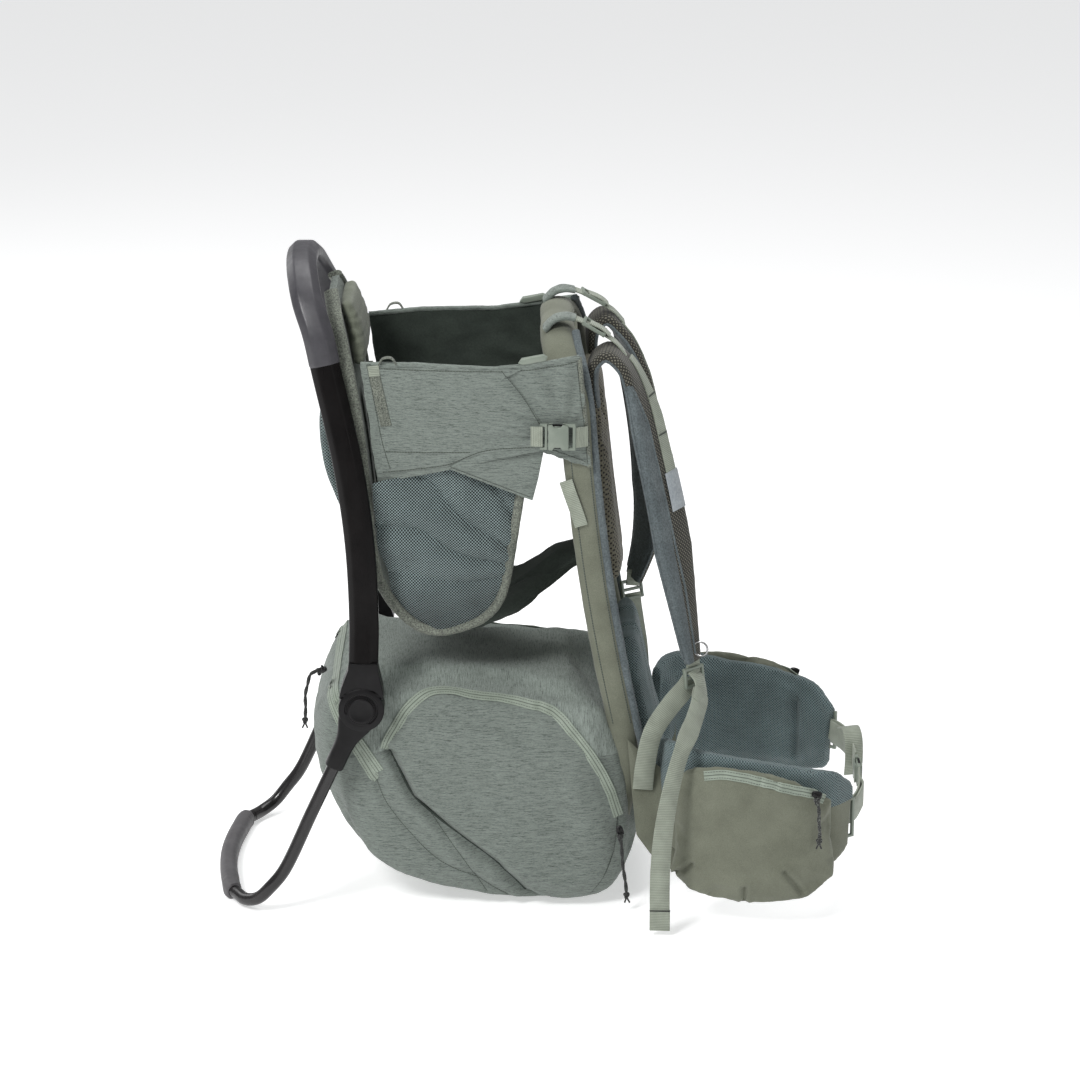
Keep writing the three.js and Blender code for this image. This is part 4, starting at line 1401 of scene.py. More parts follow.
# ---- the child's seat --------------------------------------------------------------------------
SEAT_HALF = [(0, 92), (0.3, 97), (0.5, 90), (0.68, 52), (0.8, 40), (1, 40)]
seat_track = [
    V(-167, 0, 384), V(-152, 0, 369), V(-124, 0, 357), V(-78, 0, 355), V(-38, 0, 368), V(4, 0, 396),
    V(40, 0, 424), V(60, 0, 436),
]
seat = sweep("seat", seat_track, 40, Y, lambda t: pad(eased(SEAT_HALF, t) - 2, 10), "lining")
cushion(
    "seat_base_pad", seat, 6, 6,
    lambda at, n: groove(np.abs(np.abs(at[:, 1]) - 30), 1.8, 3.0) + 0.5 * ripple(at, (30, 30, 30), 4),
    "pack", "lining_fabric", "seat_base",
)

WALL_TOP = [(0, 697), (0.25, 700), (0.6, 698), (0.8, 704), (1, 713)]
WALL_BOTTOM = [(0, 548), (0.35, 570), (0.6, 590), (0.78, 596), (1, 576)]


def wall_surface(u, w):
    z = lerp(along(WALL_BOTTOM, u), along(WALL_TOP, u), w)
    x = lerp(lerp(-196, -215, w), lerp(60, 47, w), u)
    return V(x, -lerp(116, 142, min(1, u * 1.15)) - 7 * math.sin(math.pi * u), z)


CLIP_AT = V(22, -155, 618)


def wall_folds(at, n):
    made = 2.0 * ripple(at, (80, 1000, 30), 3) + 0.8 * ripple(at, (25, 1000, 12), 5)
    dx, dz = at[:, 0] - 30, at[:, 2] - 618
    reach = np.hypot(dx, dz)
    fan = np.sin(np.arctan2(dz, dx) * 13 + 0.4 * ripple(at, (40, 1000, 40), 8))
    made += 2.2 * fan * np.exp(-(((reach - 70) / 42) ** 2))
    return made * np.sign(-n[:, 1])


wall = skin("wall", wall_surface, 84, 40, 3.0, "side")
push(wall, wall_folds)
dress(wall, "lining", lambda centre, normal: normal.y > 0.3)
wall_tree = surface_of(wall)
pair(wall, "cockpit_wall_cloth", PACK, "heather_fabric", ["cockpit_wall"])

FLAP = [
    (-199, 693), (-120, 699), (-48, 702), (-18, 664), (4, 628), (8, 606), (-20, 600), (-72, 592),
    (-110, 574), (-190, 560)
]


def flap_height(p, t):
    fold = row(p)
    toward = max(0.0, 1 - math.hypot(p.x - 6, p.z - 616) / 120)
    fan = math.sin(math.atan2(p.z - 616, p.x - 14) * 17)
    return (
        2.0 * (1 - t**8)
        + 2.4 * toward * fan * (1 - t**10)
        + 2.2 * ripple(fold, (64, 1, 22), 6)[0] * (1 - t**8)
    )


flap = draped("flap", FLAP, (-90, 640), wall_tree, 0.8, flap_height, "side", 34, 190)
flap_tree = surface_of(flap, bpy.data.objects["cockpit_wall_cloth_right"])
pair(flap, "cockpit_flap", PACK, "heather_fabric")

TAB = [(-112, 573), (-60, 552), (-9, 532), (-2, 560), (5, 598), (-40, 600), (-84, 588)]


def flat_tree(y, low=-400, high=400):
    return BVHTree.FromPolygons(
        [V(low, y, low), V(high, y, low), V(high, y, 900), V(low, y, 900)], [(0, 1, 2, 3)]
    )


tab = draped(
    "tab", TAB, (-40, 572), flat_tree(-137), 0,
    lambda p, t: 2.0 * (1 - t**6) + 1.4 * ripple(np.array([[p.x, 0, p.z]]), (50, 1, 14), 3)[0] * (1 - t**8),
    "side", 20, 120,
)
pair(tab, "leg_opening_gusset", PACK, "heather_fabric")
gusset_tree = surface_of(bpy.data.objects["leg_opening_gusset_right"])
pair(
    seam("tab_seam", gusset_tree, side_line([(-108, 575), (-60, 556), (-12, 537)]), r=0.5), "gusset_hem",
    PACK, "heather_fabric"
)

for i, line in enumerate((
    [(-208, 699), (-200, 655), (-190, 600), (-181, 568)],
    [(-186, 590), (-140, 591), (-84, 594)],
    [(-204, 694), (-140, 694), (-44, 696)],
    [(-46, 697), (-18, 661), (2, 627)],
    [(-190, 563), (-150, 569), (-110, 577), (-70, 595), (4, 604)],
)):
    pair(
        seam(f"wall_seam_{i}", flap_tree, side_line(line), r=0.55, steps=90), f"wall_stitching_{i}", PACK,
        "heather_fabric"
    )
for i, line in enumerate(
    (
        [(-40, 697), (0, 700), (44, 708)], [(44, 706), (49, 660), (54, 620), (57, 582)],
        [(12, 600), (34, 592), (56, 583)]
    )
):
    pair(
        seam(f"front_seam_{i}", wall_tree, side_line(line), r=0.55, steps=70), f"wall_front_stitching_{i}",
        PACK, "heather_fabric"
    )
strip = tape(
    "strip", flap_tree, side_line([(-198, 684), (-194, 664), (-189, 640), (-185, 622)]), 7, "binding",
    steps=30
)
pair(strip, "wall_rear_strip", PACK, "smooth_fabric")
patch = tape("patch", flap_tree, side_line([(-200, 697), (-198, 684)]), 7, "webbing", steps=10, lift=0.9)
pair(patch, "wall_rear_tape", PACK, "webbing")
top_edge = [wall_surface(u / 20, 1.0) for u in range(21)]
hem = sweep("hem", top_edge, 110, Y, lambda t: circle(2.6, 12, 1.25), "side")
push(hem, lambda at, n: 0.35 * ripple(at, (7, 7, 7), 2))
pair(hem, "wall_top_hem", PACK, "heather_fabric")
front_edge = [wall_surface(1.0, w / 12) for w in range(13)]
hem = sweep("hem", front_edge, 60, Y, lambda t: circle(2.4, 12, 1.2), "binding")
pair(hem, "wall_front_edge", PACK, "smooth_fabric")
loop = [V(-193, -124, 700), V(-188, -126, 707), V(-178, -127, 708), V(-172, -127, 700)]
pair(ribbon("loop", loop, 24, Y, 3.5, 0.8, "binding"), "wall_small_loop", PACK, "webbing")
clasp = plate(
    "clasp", [(-26, 706), (-22, 712), (4, 717), (9, 714), (7, 709), (-20, 704)], -146, -139, "buckle", 1.6
)
pair(clasp, "wall_top_clasp", PACK, "buckle_plastic")

MESH_TOP = [(0, 545), (0.4, 566), (0.75, 588), (1, 590)]
MESH_FOOT = [(0, 400), (0.15, 372), (0.38, 353), (0.65, 364), (0.85, 380), (1, 402)]


def mesh_surface(u, w):
    x = lerp(lerp(-180, -199, min(1, w * 1.6)), lerp(-42, -12, w), u)
    z = lerp(along(MESH_FOOT, u), along(MESH_TOP, u) + 2, w)
    swell = 12 * math.sin(math.pi * u) * math.sin(math.pi * min(1, w + 0.2)) - 18 * (1 - w) ** 3
    return V(x, -(120 + swell), z)


def mesh_folds(at, n):
    dx, dz = at[:, 0] - 10, at[:, 2] - 425
    reach = np.hypot(dx, dz)
    angle = np.arctan2(dz, -dx)
    fan = 1 - 1.8 * np.abs(np.sin(angle * 9 + 0.9 * ripple(at, (60, 1000, 60), 2))) ** 0.6
    made = -6.5 * fan * np.clip(reach / 110, 0, 1) * np.exp(-(((angle - 0.6) / 0.8) ** 2))
    return (made + 1.2 * ripple(at, (40, 1000, 30), 7)) * np.sign(-n[:, 1])


mesh_panel = skin("mesh", mesh_surface, 70, 80, 1.6, "side_mesh")
push(mesh_panel, mesh_folds)
pair(mesh_panel, "seat_side_mesh", PACK, "side_mesh", ["seat_mesh"])

front_panel_z = [310, 360, 420, 500, 580, 650, 690, 716]
front_panel = sweep(
    "front_panel_cloth", [V(front_x(z), 0, z) for z in front_panel_z], 60, Y,
    lambda t: pad(along([(0, 108), (0.84, 108), (0.93, 92), (1, 62)], t), 3.6), "olive",
)
push(front_panel, lambda at, n: 0.9 * ripple(at, (50, 40, 50), 4))
place(front_panel, "pack", "smooth_fabric", "front_panel")
bolster = sweep(
    "bolster", [V(front_x(z) - 24, 0, z) for z in (640, 670, 700)], 24, Y,
    lambda t: pad(lerp(96, 64, t), 14), "lining"
)
cushion(
    "front_bolster_pad", bolster, 6, 8, lambda at, n: 0.8 * ripple(at, (30, 26, 20), 4),
    "pack", "smooth_fabric", "front_bolster",
)

# ---- the child's harness -----------------------------------------------------------------------
CHILD_STRAP = [
    V(-212, -46, 652), V(-206, -42, 600), V(-198, -36, 520), V(-190, -32, 462), V(-170, -26, 420),
    V(-140, -16, 391), V(-122, -9, 384)
]
child_strap = sweep("child_strap", CHILD_STRAP, 70, Y, lambda t: pad(lerp(18, 9.5, t), 3), "lining")
child_web = sweep(
    "child_web", [p + V(3.4, 0, 2.2) for p in CHILD_STRAP], 70, Y, lambda t: flat_section(8, 0.8)[0],
    "webbing", flat_section(8, 0.8)[1]
)
pair(joined("child", child_strap, child_web), "child_strap_pad", PACK, "webbing", [])
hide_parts("child_harness")


def pill(name, at, levels, look):
    """A moulding along z. levels has (height, half length in x, half width in y, corner radius)."""
    rings = [
        [at + V(p, q, z) for p, q in rounded(oblong(w, h), r, 5)] for z, w, h, r in levels
    ]
    return outward(loft(name, rings, look))


buckle_at = V(-99, 0, 379)
child_buckle = joined(
    "child_buckle_body",
    pill(
        "body", buckle_at,
        [
            (-6.5, 13, 12, 5), (-5.2, 15.4, 14.4, 6), (-4, 16, 15, 6), (3.6, 16, 15, 6),
            (5.6, 14.8, 13.8, 6), (6.2, 12.4, 11.4, 6), (6.2, 9.2, 9.2, 9), (1.2, 9, 9, 9)
        ],
        "hub"
    ),
    pill(
        "bridge", buckle_at + V(-19, 0, 5),
        [(-3, 4.5, 15, 3), (-2, 5.4, 16, 3), (1.4, 5.4, 16, 3), (2.2, 4.6, 15, 3)], "hub"
    ),
)
place(child_buckle, "pack", "frame_plastic", "child_buckle")
button = pill(
    "child_button_cap", buckle_at, [(1.6, 8, 8, 8), (7.4, 8, 8, 8), (8.3, 7.2, 7.2, 7), (7.9, 4, 4, 4)],
    "rubber"
)
place(button, "harness_button", "arch_plastic", "child_button")
crotch = ribbon("crotch_strap", [V(-84, 0, 378), V(-70, 0, 372), V(-52, 0, 372)], 16, Y, 10, 1.0, "webbing")
place(crotch, "pack", "webbing")

# ---- buckles and ladder locks ------------------------------------------------------------------
def beam(name, a, b, across, w, h, look="buckle", r=None):
    """A straight bar with rounded edges."""
    corner = min(w, h) * 0.6 if r is None else r
    return sweep(name, [a, b], 2, across, lambda t: rounded(oblong(w, h), corner), look)


def stand_up(obj, at, turn, grow=1.0):
    obj.data.transform(
        Matrix.Translation(at * MM) @ Matrix.Rotation(turn, 4, "Z") @ Matrix.Diagonal((1, 1, grow, 1))
    )
    return obj


SHELL = [
    (-12, 9), (-12, 12.6), (-7.5, 13.4), (-5, 10.4), (2.5, 10.2), (5.5, 13.2), (11, 12.4), (12.5, 10),
    (12.5, -10), (11, -12.4), (5.5, -13.2), (2.5, -10.2), (-5, -10.4), (-7.5, -13.4), (-12, -12.6),
    (-12, -9),
]


def clip_socket(name):
    parts = [plate("shell", SHELL, y, y + 1.9 * s, "buckle", 0.7, 2) for y, s in ((-5, 1), (5, -1))]
    parts += [beam("wall", V(9.5, 0, -11.5), V(9.5, 0, 11.5), X, 2.6, 4.2)]
    parts += [beam("rib", V(-11, 0, z), V(8, 0, z), Y, 4, 0.9) for z in (-5.2, 5.2)]
    parts += [beam("arm", V(9, 0, z), V(20.5, 0, z), Y, 2.4, 1.6) for z in (-12, 12)]
    parts += [beam("bar", V(19, 0, -12.5), V(19, 0, 12.5), Y, 2.2, 1.9)]
    # A dark plate in the hub look inside the socket's hollow: painted shade.
    parts += [plate("hollow_painted_shade", [(-11, 12.4), (7, 12.4), (7, -12.4), (-11, -12.4)], 0.4, 2.6, "hub", 0.5, 1)]
    return joined(name, *parts)


def clip_tongue(name):
    prong = [(-14, 5.6), (-14, 10.4), (-6, 10.2), (-4, 10.8), (2.5, 10.6), (4.6, 9), (4, 6.6), (-2, 6.8)]
    parts = [plate("prong", prong, -1.8, 1.8, "buckle", 0.7, 2)]
    parts += [plate("prong", [(x, -z) for x, z in prong], -1.8, 1.8, "buckle", 0.7, 2)]
    parts += [beam("tongue", V(-14, 0, 0), V(4, 0, 0), Y, 1.6, 2.0)]
    parts += [beam("root", V(-14.6, 0, -13), V(-14.6, 0, 13), Y, 2.6, 1.7)]
    parts += [beam("arm", V(-22, 0, z), V(-14, 0, z), Y, 2.2, 1.5) for z in (-11.8, 11.8)]
    parts += [beam("bar", V(-20.8, 0, -12.5), V(-20.8, 0, 12.5), Y, 2.0, 1.5)]
    return joined(name, *parts)


CLIP_TURN = -0.06
pair(
    stand_up(clip_socket("socket"), CLIP_AT, CLIP_TURN, 1.22), "seat_buckle_socket", PACK, "buckle_plastic",
    ["seat_clip_socket"]
)
pair(
    stand_up(clip_tongue("tongue"), CLIP_AT, CLIP_TURN, 1.22), "seat_buckle_tongue",
    ("seat_release_r", "seat_release_l"), "buckle_plastic",
    ["seat_clip_tongue"],
)
web = ribbon(
    "web", [V(41, -156.5, 617), V(46, -154, 617), V(52, -149, 616), V(57, -146, 616)], 16, Z, 12.5, 0.9,
    "webbing"
)
pair(web, "seat_buckle_web", PACK, "webbing")
web = ribbon(
    "web", [V(3, -157, 619), V(-1, -157.6, 619), V(-6, -157.4, 619), V(-11, -156.4, 619)], 18, Z, 12.5, 0.9,
    "webbing"
)
pair(web, "seat_tongue_web", ("seat_release_r", "seat_release_l"), "webbing")


def ladder_lock(name, at, a, b, width=15.5, height=10.5, bars=3):
    """A frame of two rails and some bars. a runs along the bars and b across them."""
    a, b = a.normalized(), b.normalized()
    parts = [
        beam(
            "rail", at + a * s * (width - 1.5) - b * height, at + a * s * (width - 1.5) + b * height, a,
            1.8, 2.2
        )
        for s in (-1, 1)
    ]
    for k in range(bars):
        centre = at + b * lerp(-height + 1.2, height - 1.2, k / (bars - 1))
        parts.append(beam("bar", centre - a * width, centre + a * width, b, 1.9, 2.3 if k != 1 else 1.7))
    return joined(name, *parts)


# ---- the wearer's back pad and shoulder straps -------------------------------------------------
PAD_HALF = [(0, 84), (0.12, 92), (0.7, 92), (0.82, 50), (1, 46)]
back_pad = sweep(
    "back_pad_a", [V(front_x(z) + 15, 0, z) for z in (406, 450, 510, 570, 630, 672)], 44, Y,
    lambda t: pad(along(PAD_HALF, t) - 1, 10), "back_mesh",
)
cushion(
    "back_pad_mesh", back_pad, 5, 5,
    lambda at, n: (
        groove(np.abs(np.abs(at[:, 1]) - 34), 3.0, 4.0) * (at[:, 2] < 640)
        + 0.5 * ripple(at, (30, 30, 30), 3)
    ),
    "harness", "spacer_mesh", "back_pad",
)

STRAP_HALF = [(0, 26), (0.2, 31), (0.7, 29), (0.9, 20), (1, 15)]
STRAP_THICK = [(0, 6), (0.12, 8.5), (0.8, 9), (1, 6)]
STRAP_RIGHT = [
    V(68, -84, 640), V(64, -84, 668), V(67, -84, 692), V(82, -86, 704), V(103, -89, 688), V(123, -93, 642),
    V(138, -97, 582), V(154, -101, 510), V(167, -105, 440), V(179, -108, 370), V(188, -110, 316),
]
STRAP_LEFT = [
    V(68, 84, 640), V(65, 84, 668), V(68, 84, 694), V(82, 84, 703), V(101, 84, 682), V(117, 85, 636),
    V(129, 86, 582), V(138, 87, 520), V(141, 90, 460), V(134, 96, 402), V(121, 104, 352),
]
STRAP_CUTS = 40
# how far across its outer face the cloth of each strap's outer side reaches, as a share of the half width
SIDE_CLOTH = [(0, -1.1), (0.24, -1.02), (0.36, -0.34), (0.62, -0.24), (0.8, -0.05), (1, 0)]


def strap_section(w, h):
    """A flat foam section with full round edges, counted round from its middle right."""
    made = []
    for i in range(STRAP_CUTS):
        a = 2 * math.pi * (i + 0.5) / STRAP_CUTS
        c, s = math.cos(a), math.sin(a)
        made.append((math.copysign(w * abs(c) ** 0.5, c), math.copysign(h * abs(s) ** 0.55, s)))
    return made


def crown(share, h):
    """The height of that section's face at a share of its half width."""
    return h * max(0.0, 1 - abs(share) ** 4) ** 0.275


def rider(name, points, across, offset, section, look, start, end, steps, uv_across=None):
    """A section that rides a strap's line from share start to share end, offset(t) across and out from it."""
    places, travels = spline(points, 240)
    rings = []
    for i in range(steps + 1):
        t = lerp(start, end, i / steps)
        k = min(240, int(round(t * 240)))
        travel = travels[k]
        side = across(t)
        side = (side - travel * side.dot(travel)).normalized()
        out = travel.cross(side)
        p, q = offset(t)
        shape = section(i / steps) if callable(section) else section
        rings.append([places[k] + side * (p + a) + out * (q + b) for a, b in shape])
    return loft(name, rings, look, uv_across)


def shoulder_strap(end, points, across, node, sign):
    def section(t):
        return strap_section(along(STRAP_HALF, t), along(STRAP_THICK, t) - 0.6)

    rings = 130
    strap = sweep(f"shoulder_strap_{end}_pad", points, rings, across, section, "strap_mesh")
    strap.data.materials.append(LOOK["blue_edge"])
    shape = strap_section(1, 1)
    for i in range(rings * STRAP_CUTS):
        ring, j = divmod(i, STRAP_CUTS)
        share = sign * (shape[j][0] + shape[(j + 1) % STRAP_CUTS][0]) / 2
        inner = shape[j][1] + shape[(j + 1) % STRAP_CUTS][1] < 0
        if inner or share < along(SIDE_CLOTH, ring / rings):
            strap.data.polygons[i].material_index = 1
    push(strap, lambda at, n: 0.7 * ripple(at, (26, 26, 34), 5) + 0.3 * ripple(at, (9, 9, 9), 8))
    place(strap, "harness", "strap_mesh", node)
    for s in (-1, 1):
        edge_cord = rider(
            f"strap_edge_{end}_{'ab'[s > 0]}", points, across,
            lambda t: (s * (along(STRAP_HALF, t) - 0.3), -along(STRAP_THICK, t) * 0.42),
            circle(1.9, 10), "blue_edge", 0.02, 0.985, 200,
        )
        place(edge_cord, "harness", "strap_mesh")
    trim = rider(
        f"strap_side_trim_{end}", points, across,
        lambda t: (
            sign * along(SIDE_CLOTH, t) * along(STRAP_HALF, t),
            crown(along(SIDE_CLOTH, t), along(STRAP_THICK, t) - 0.6) - 0.2,
        ),
        circle(1.7, 10), "blue_edge", 0.25, 0.98, 160,
    )
    place(trim, "harness", "strap_mesh")
    corners, reach = flat_section(9.5, 0.9)
    web = rider(
        f"strap_top_web_{end}", points, across, lambda t: (sign * 13, along(STRAP_THICK, t) + 0.4), corners,
        "webbing",
        0.2, 0.55, 90, reach,
    )
    place(web, "harness", "webbing")
    shape = flat_section(12.5, 0.8)
    patch = rider(
        f"strap_patch_{end}", points, across, lambda t: (sign * 12, along(STRAP_THICK, t) + 1.2), shape[0],
        "patch", 0.5, 0.6, 24, shape[1],
    )
    place(patch, "harness", "smooth_fabric")
    for k, share in enumerate((0.3, 0.4)):
        bar = rider(
            f"strap_tack_{end}_{k}", points, across, lambda t: (sign * 13, along(STRAP_THICK, t) + 1.0),
            flat_section(9.2, 0.7)[0],
            "seam", share, share + 0.006, 2,
        )
        place(bar, "harness", "webbing")
    return strap


def twisting(sign):
    """The straps hang with their outer faces turned forward and outward."""
    rows = [(0, 0), (0.2, 0.12), (0.36, 0.55), (0.7, 0.75), (1, 0.55)]
    return lambda t: V(sign * along(rows, t), 1 - 0.25 * along(rows, t), 0)


TURN_RIGHT = twisting(1)
TURN_LEFT = twisting(-1)
shoulder_strap("right", STRAP_RIGHT, TURN_RIGHT, "shoulder_strap_right", 1)
shoulder_strap("left", STRAP_LEFT, TURN_LEFT, "shoulder_strap_left", -1)

for end, at, towards in (
    ("right", V(190, -112, 296), V(0.9, 0.8, 0)), ("left", V(118, 105, 335), V(0.9, 0.6, 0))
):
    lock = ladder_lock(f"shoulder_lock_{end}_frame", at, towards, V(-0.12, 0, 1), 16, 12.5)
    place(lock, "harness", "buckle_plastic", f"shoulder_lock_{end}")
    top = STRAP_RIGHT[-1] if end == "right" else STRAP_LEFT[-1]
    web = ribbon(
        f"lock_web_{end}", [top + V(0, 0, 10), lerp(top, at, 0.5), at + V(0, 0, 5)], 12, towards, 11, 0.9,
        "webbing"
    )
    place(web, "harness", "webbing")
root = ribbon(
    "strap_tail_right_root",
    [V(188, -110, 303), V(195, -114, 296), V(198.5, -121, 283), V(195.6, -141, 272)], 16,
    V(0.5, 1, 0), 12.1, 1.0, "webbing",
)
place(root, "harness", "webbing")
ring = [
    V(197 + 9 * math.cos(a), -114 - 3 * math.cos(a), 333 + 9 * math.sin(a))
    for a in (2 * math.pi * i / 24 for i in range(25))
]
ring = sweep("strap_ring", ring, 48, Y, lambda t: circle(1.3, 10), "ring")
place(ring, "harness", "buckle_plastic")

LIFTER = [V(40, -67, 743), V(54, -69, 737), V(76, -72, 724), V(92, -74, 713), V(105, -76, 698)]
LIFTER_LOCK = V(66, -71, 731.5)
for end, side in (("right", 1), ("left", -1)):
    line = LIFTER if side > 0 else flipped(LIFTER)
    lock_at = V(LIFTER_LOCK.x, LIFTER_LOCK.y * side, LIFTER_LOCK.z)
    lifter = ribbon(f"load_lifter_{end}_web", line, 60, Y, 10, 0.9, "webbing")
    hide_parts(f"load_lifter_{end}")
    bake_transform(lifter)
    along_web = V(0.86, -0.1 * side, -0.5)
    lock = ladder_lock(f"load_lifter_{end}_lock", lock_at, V(0.1, side, 0), along_web, 14, 15, 3)
    place(lock, "harness", "buckle_plastic")
    tag = ribbon(
        f"load_lifter_{end}_end",
        [
            lock_at + along_web * s + V(0, 0, lift)
            for s, lift in ((-6, 2.4), (6, 4.0), (15, 3.6), (22, 1.2))
        ],
        20, Y, 9, 0.9, "webbing",
    )
    place(tag, "harness", "webbing")
    y = -66 * side
    wrap = sweep(
        f"load_lifter_{end}_anchor",
        [V(6, y, 728), V(17, y, 739.5), V(30, y, 743.5), V(43, y - side, 741.5)], 24, Y,
        lambda t: pad(15 - 3 * t, 4.0 - 1.3 * t), "side",
    )
    push(wrap, lambda at, n: 0.6 * ripple(at, (9, 9, 9), 3))
    place(wrap, "pack", "heather_fabric")

LOWER_WEB = {
    "right": (
        [
            V(127, -146, 160), V(130, -152, 196), V(139, -152, 238), V(160, -136, 266), V(177, -120, 281),
            V(186, -113, 293)
        ],
        V(1, 0.5, 0)
    ),
    "left": (
        [
            V(127, 146, 160), V(130, 151, 196), V(128, 143, 240), V(122, 124, 286), V(118, 108, 318),
            V(118, 105, 329)
        ],
        V(1, 0.35, 0)
    ),
}
for end, (line, turn) in LOWER_WEB.items():
    web = ribbon(f"strap_web_{end}_lower", line, 60, turning(X, turn), 12.5, 0.9, "webbing")
    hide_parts(f"strap_web_{end}")
    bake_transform(web)

# ---- chest strap -------------------------------------------------------------------------------
CHEST_RIGHT, CHEST_LEFT = V(159, -66, 480), V(140, 52, 480)
CHEST_AT = lerp(CHEST_RIGHT, CHEST_LEFT, 0.5)
CHEST_TURN = math.atan2(CHEST_RIGHT.y - CHEST_LEFT.y, CHEST_RIGHT.x - CHEST_LEFT.x)
CHEST_AXIS = (CHEST_LEFT - CHEST_RIGHT).normalized()
place(
    stand_up(clip_socket("chest_buckle_socket"), CHEST_AT, CHEST_TURN), "chest_strap", "buckle_plastic",
    "chest_socket"
)
place(
    stand_up(clip_tongue("chest_buckle_tongue"), CHEST_AT, CHEST_TURN), "chest_release", "buckle_plastic",
    "chest_tongue"
)
web = ribbon(
    "chest_web_right",
    [CHEST_RIGHT - CHEST_AXIS * 6, lerp(CHEST_RIGHT, CHEST_LEFT, 0.2), CHEST_AT - CHEST_AXIS * 18], 20, Z,
    9.5, 0.9, "webbing"
)
place(web, "chest_strap", "webbing")
web = ribbon(
    "chest_web_left",
    [CHEST_AT + CHEST_AXIS * 20, lerp(CHEST_RIGHT, CHEST_LEFT, 0.85), CHEST_LEFT + CHEST_AXIS * 6], 20, Z,
    9.5, 0.9, "webbing"
)
place(web, "chest_strap", "webbing")
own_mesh(web)

# ---- hip belt ----------------------------------------------------------------------------------
lumbar = sweep(
    "lumbar", [V(front_x(z) + 17, 0, z) for z in (100, 140, 180, 220, 260, 300, 340)], 44, Y,
    lambda t: pad(along([(0, 92), (0.15, 104), (0.45, 102), (0.62, 85), (1, 78)], t) - 1, 11), "belt_mesh",
)
cushion(
    "lumbar_pad_mesh", lumbar, 5, 6,
    lambda at, n: groove(np.abs(np.abs(at[:, 1]) - 32), 2.6, 4.0) + 0.5 * ripple(at, (30, 30, 30), 3),
    "pack", "belt_mesh", "lumbar_pad",
)

WING = [
    V(152, -115, 160), V(168, -149, 158), V(203, -176, 152), V(260, -188, 146), V(316, -184, 138),
    V(356, -166, 130), V(378, -142, 126)
]
LEFT_SAG = 12
WING_HALF = [(0, 58), (0.1, 72), (0.3, 77), (0.6, 75), (0.85, 68), (0.94, 58), (1, 40)]
wing = sweep("wing", WING, 60, Z, lambda t: pad(eased(WING_HALF, t), 8.5), "olive")
wing = stuffed(wing, 5, 5)


def belt_inside(at):
    """The level direction from each point to the middle of the belt's loop."""
    hollow = np.stack([265 - at[:, 0], -at[:, 1], at[:, 2] * 0], axis=1)
    return hollow / np.maximum(np.linalg.norm(hollow, axis=1, keepdims=True), 1e-6)


def wing_shape(at, n):
    facing = (n * belt_inside(at)).sum(axis=1)
    inner = np.clip(facing / 0.4, 0, 1)
    dart = (
        np.exp(-(((at[:, 0] - 334) / 4.5) ** 2))
        * np.clip((182 - at[:, 2]) / 14, 0, 1)
        * np.clip((at[:, 2] - 84) / 10, 0, 1)
    )
    roll = np.exp(-(((at[:, 0] - 322) / 9) ** 2)) + np.exp(-(((at[:, 0] - 346) / 9) ** 2))
    return (2.0 * roll - 8.5) * dart * inner + 1.0 * ripple(at, (34, 34, 30), 6)


def faces_wearer(centre, normal):
    """The wing's inside and its rolled top edge, which are mesh. The rest is smooth cloth."""
    hollow = belt_inside(np.array([centre]))[0]
    return (np.array(normal) * hollow).sum() > -0.45 or centre.z > 150


push(wing, wing_shape)
dress(wing, "belt_mesh", faces_wearer)
right_wing, left_wing = pair(wing, "hip_wing_pad", PACK, "belt_mesh", ["hip_wing"])
at = coords(left_wing) / MM
at[:, 2] -= LEFT_SAG * np.clip((at[:, 0] - 180) / 70, 0, 1)
set_coords(left_wing, at * MM)
for piece, body, sign in ((right_wing, "belt_right", -1), (left_wing, "belt_left", 1)):
    piece.parent = None
    del piece["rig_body"]
    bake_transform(piece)

POUCH = [V(160, -178, 126), V(200, -196, 126), V(260, -206, 122), V(320, -203, 116), V(360, -188, 118)]
POUCH_HALF = [
    (0, 56), (0.05, 74), (0.12, 86), (0.25, 92), (0.45, 93), (0.62, 90), (0.8, 80), (0.92, 66), (1, 48)
]
POUCH_THICK = [(0, 4.2), (0.25, 6.5), (0.75, 6.5), (1, 4.2)]
pouch = sweep("pouch", POUCH, 50, Z, lambda t: pad(eased(POUCH_HALF, t), along(POUCH_THICK, t)), "olive")
pouch = stuffed(pouch, 4, 9, 5.0)
DARTS = ([(251, 58), (251, 26)], [(300, 80), (322, 50)], [(186, 84), (160, 60)])


def pouch_shape(at, n):
    made = 0.9 * ripple(at, (40, 40, 34), 5)
    for dart in DARTS:
        made += groove(from_line(at, dart), 4.2, 2.8) * np.clip(np.abs(n[:, 1]) * 2, 0, 1)
    return made


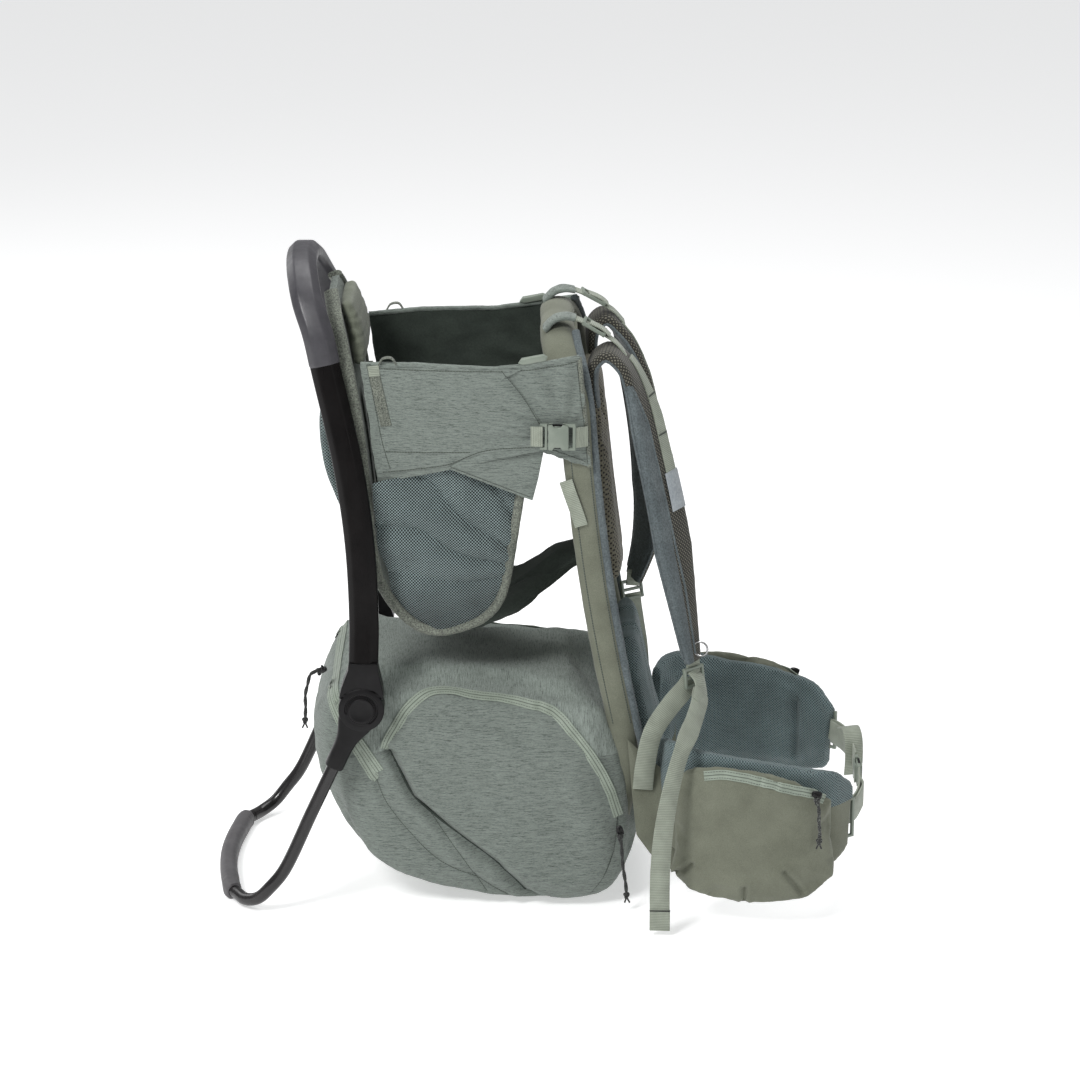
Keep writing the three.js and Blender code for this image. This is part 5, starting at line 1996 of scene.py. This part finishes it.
push(pouch, pouch_shape)
pouch_tree = surface_of(pouch)
BELTS = ("belt_right", "belt_left")
pair(pouch, "hip_pouch_cloth", BELTS, "smooth_fabric", ["hip_pouch"])
ZIP_LINE = [(349, 172), (337, 178.5), (290, 192), (250, 202), (222, 205), (200, 202)]
pair(
    tape("zip", pouch_tree, side_line(ZIP_LINE, -210), 6.0, steps=110), "hip_zip_tape", BELTS,
    "smooth_fabric"
)

STABILISER = [
    (108, 224), (130, 200), (158, 180), (176, 172), (180, 60), (160, 48), (138, 70), (120, 96), (114, 150)
]
panel = draped(
    "panel", STABILISER, (145, 130), flat_tree(-140), 0,
    lambda p, t: 3.5 * (1 - t**6) + 2.0 * ripple(np.array([[p.x, 0, p.z]]), (26, 1, 40), 3)[0] * (1 - t**8),
    "olive", 18, 110,
)
pair(panel, "belt_stabiliser", PACK, "smooth_fabric")

BELT_WEB = [V(381, -138, 126), V(394, -108, 126), V(402, -70, 126), V(404.5, -25, 126)]
pair(ribbon("web", BELT_WEB, 50, Z, 15, 1.1, "webbing"), "hip_belt_web", BELTS, "webbing", ["hip_web"])
fold_line = [V(366, -157, 127), V(388, -136, 127), V(400, -104, 128), V(405.5, -78, 128), V(404, -64, 128)]
pair(ribbon("web", fold_line, 40, Z, 14.4, 1.1, "webbing"), "hip_belt_web_end", BELTS, "webbing")
lock = ladder_lock("lock", V(380, -152, 124), Z, V(0.8, 0.6, 0), 26, 10, 3)
pair(lock, "hip_belt_lock", BELTS, "buckle_plastic")
spare = ribbon(
    "hip_web_spare", [V(397, 92, 150), V(401, 74, 155), V(404, 61, 146), V(405, 57, 120), V(404, 57, 98)],
    36,
    V(0.9, 0.35, 0), 12.5, 1.0, "webbing",
)
place(spare, "belt_left", "webbing")
HIP_CLIP = V(405, 0, 126)
place(
    stand_up(clip_socket("hip_buckle_socket"), HIP_CLIP, -math.pi / 2), "belt_right", "buckle_plastic",
    "hip_clip_socket"
)
place(
    stand_up(clip_tongue("hip_buckle_tongue"), HIP_CLIP, -math.pi / 2), "belt_left", "buckle_plastic",
    "hip_clip_tongue"
)

# ---- floor -------------------------------------------------------------------------------------
FLOOR = 40000
floor = make(
    "floor", [(-FLOOR, -FLOOR, 0), (FLOOR, -FLOOR, 0), (FLOOR, FLOOR, 0), (-FLOOR, FLOOR, 0)],
    [(0, 1, 2, 3)], "floor"
)
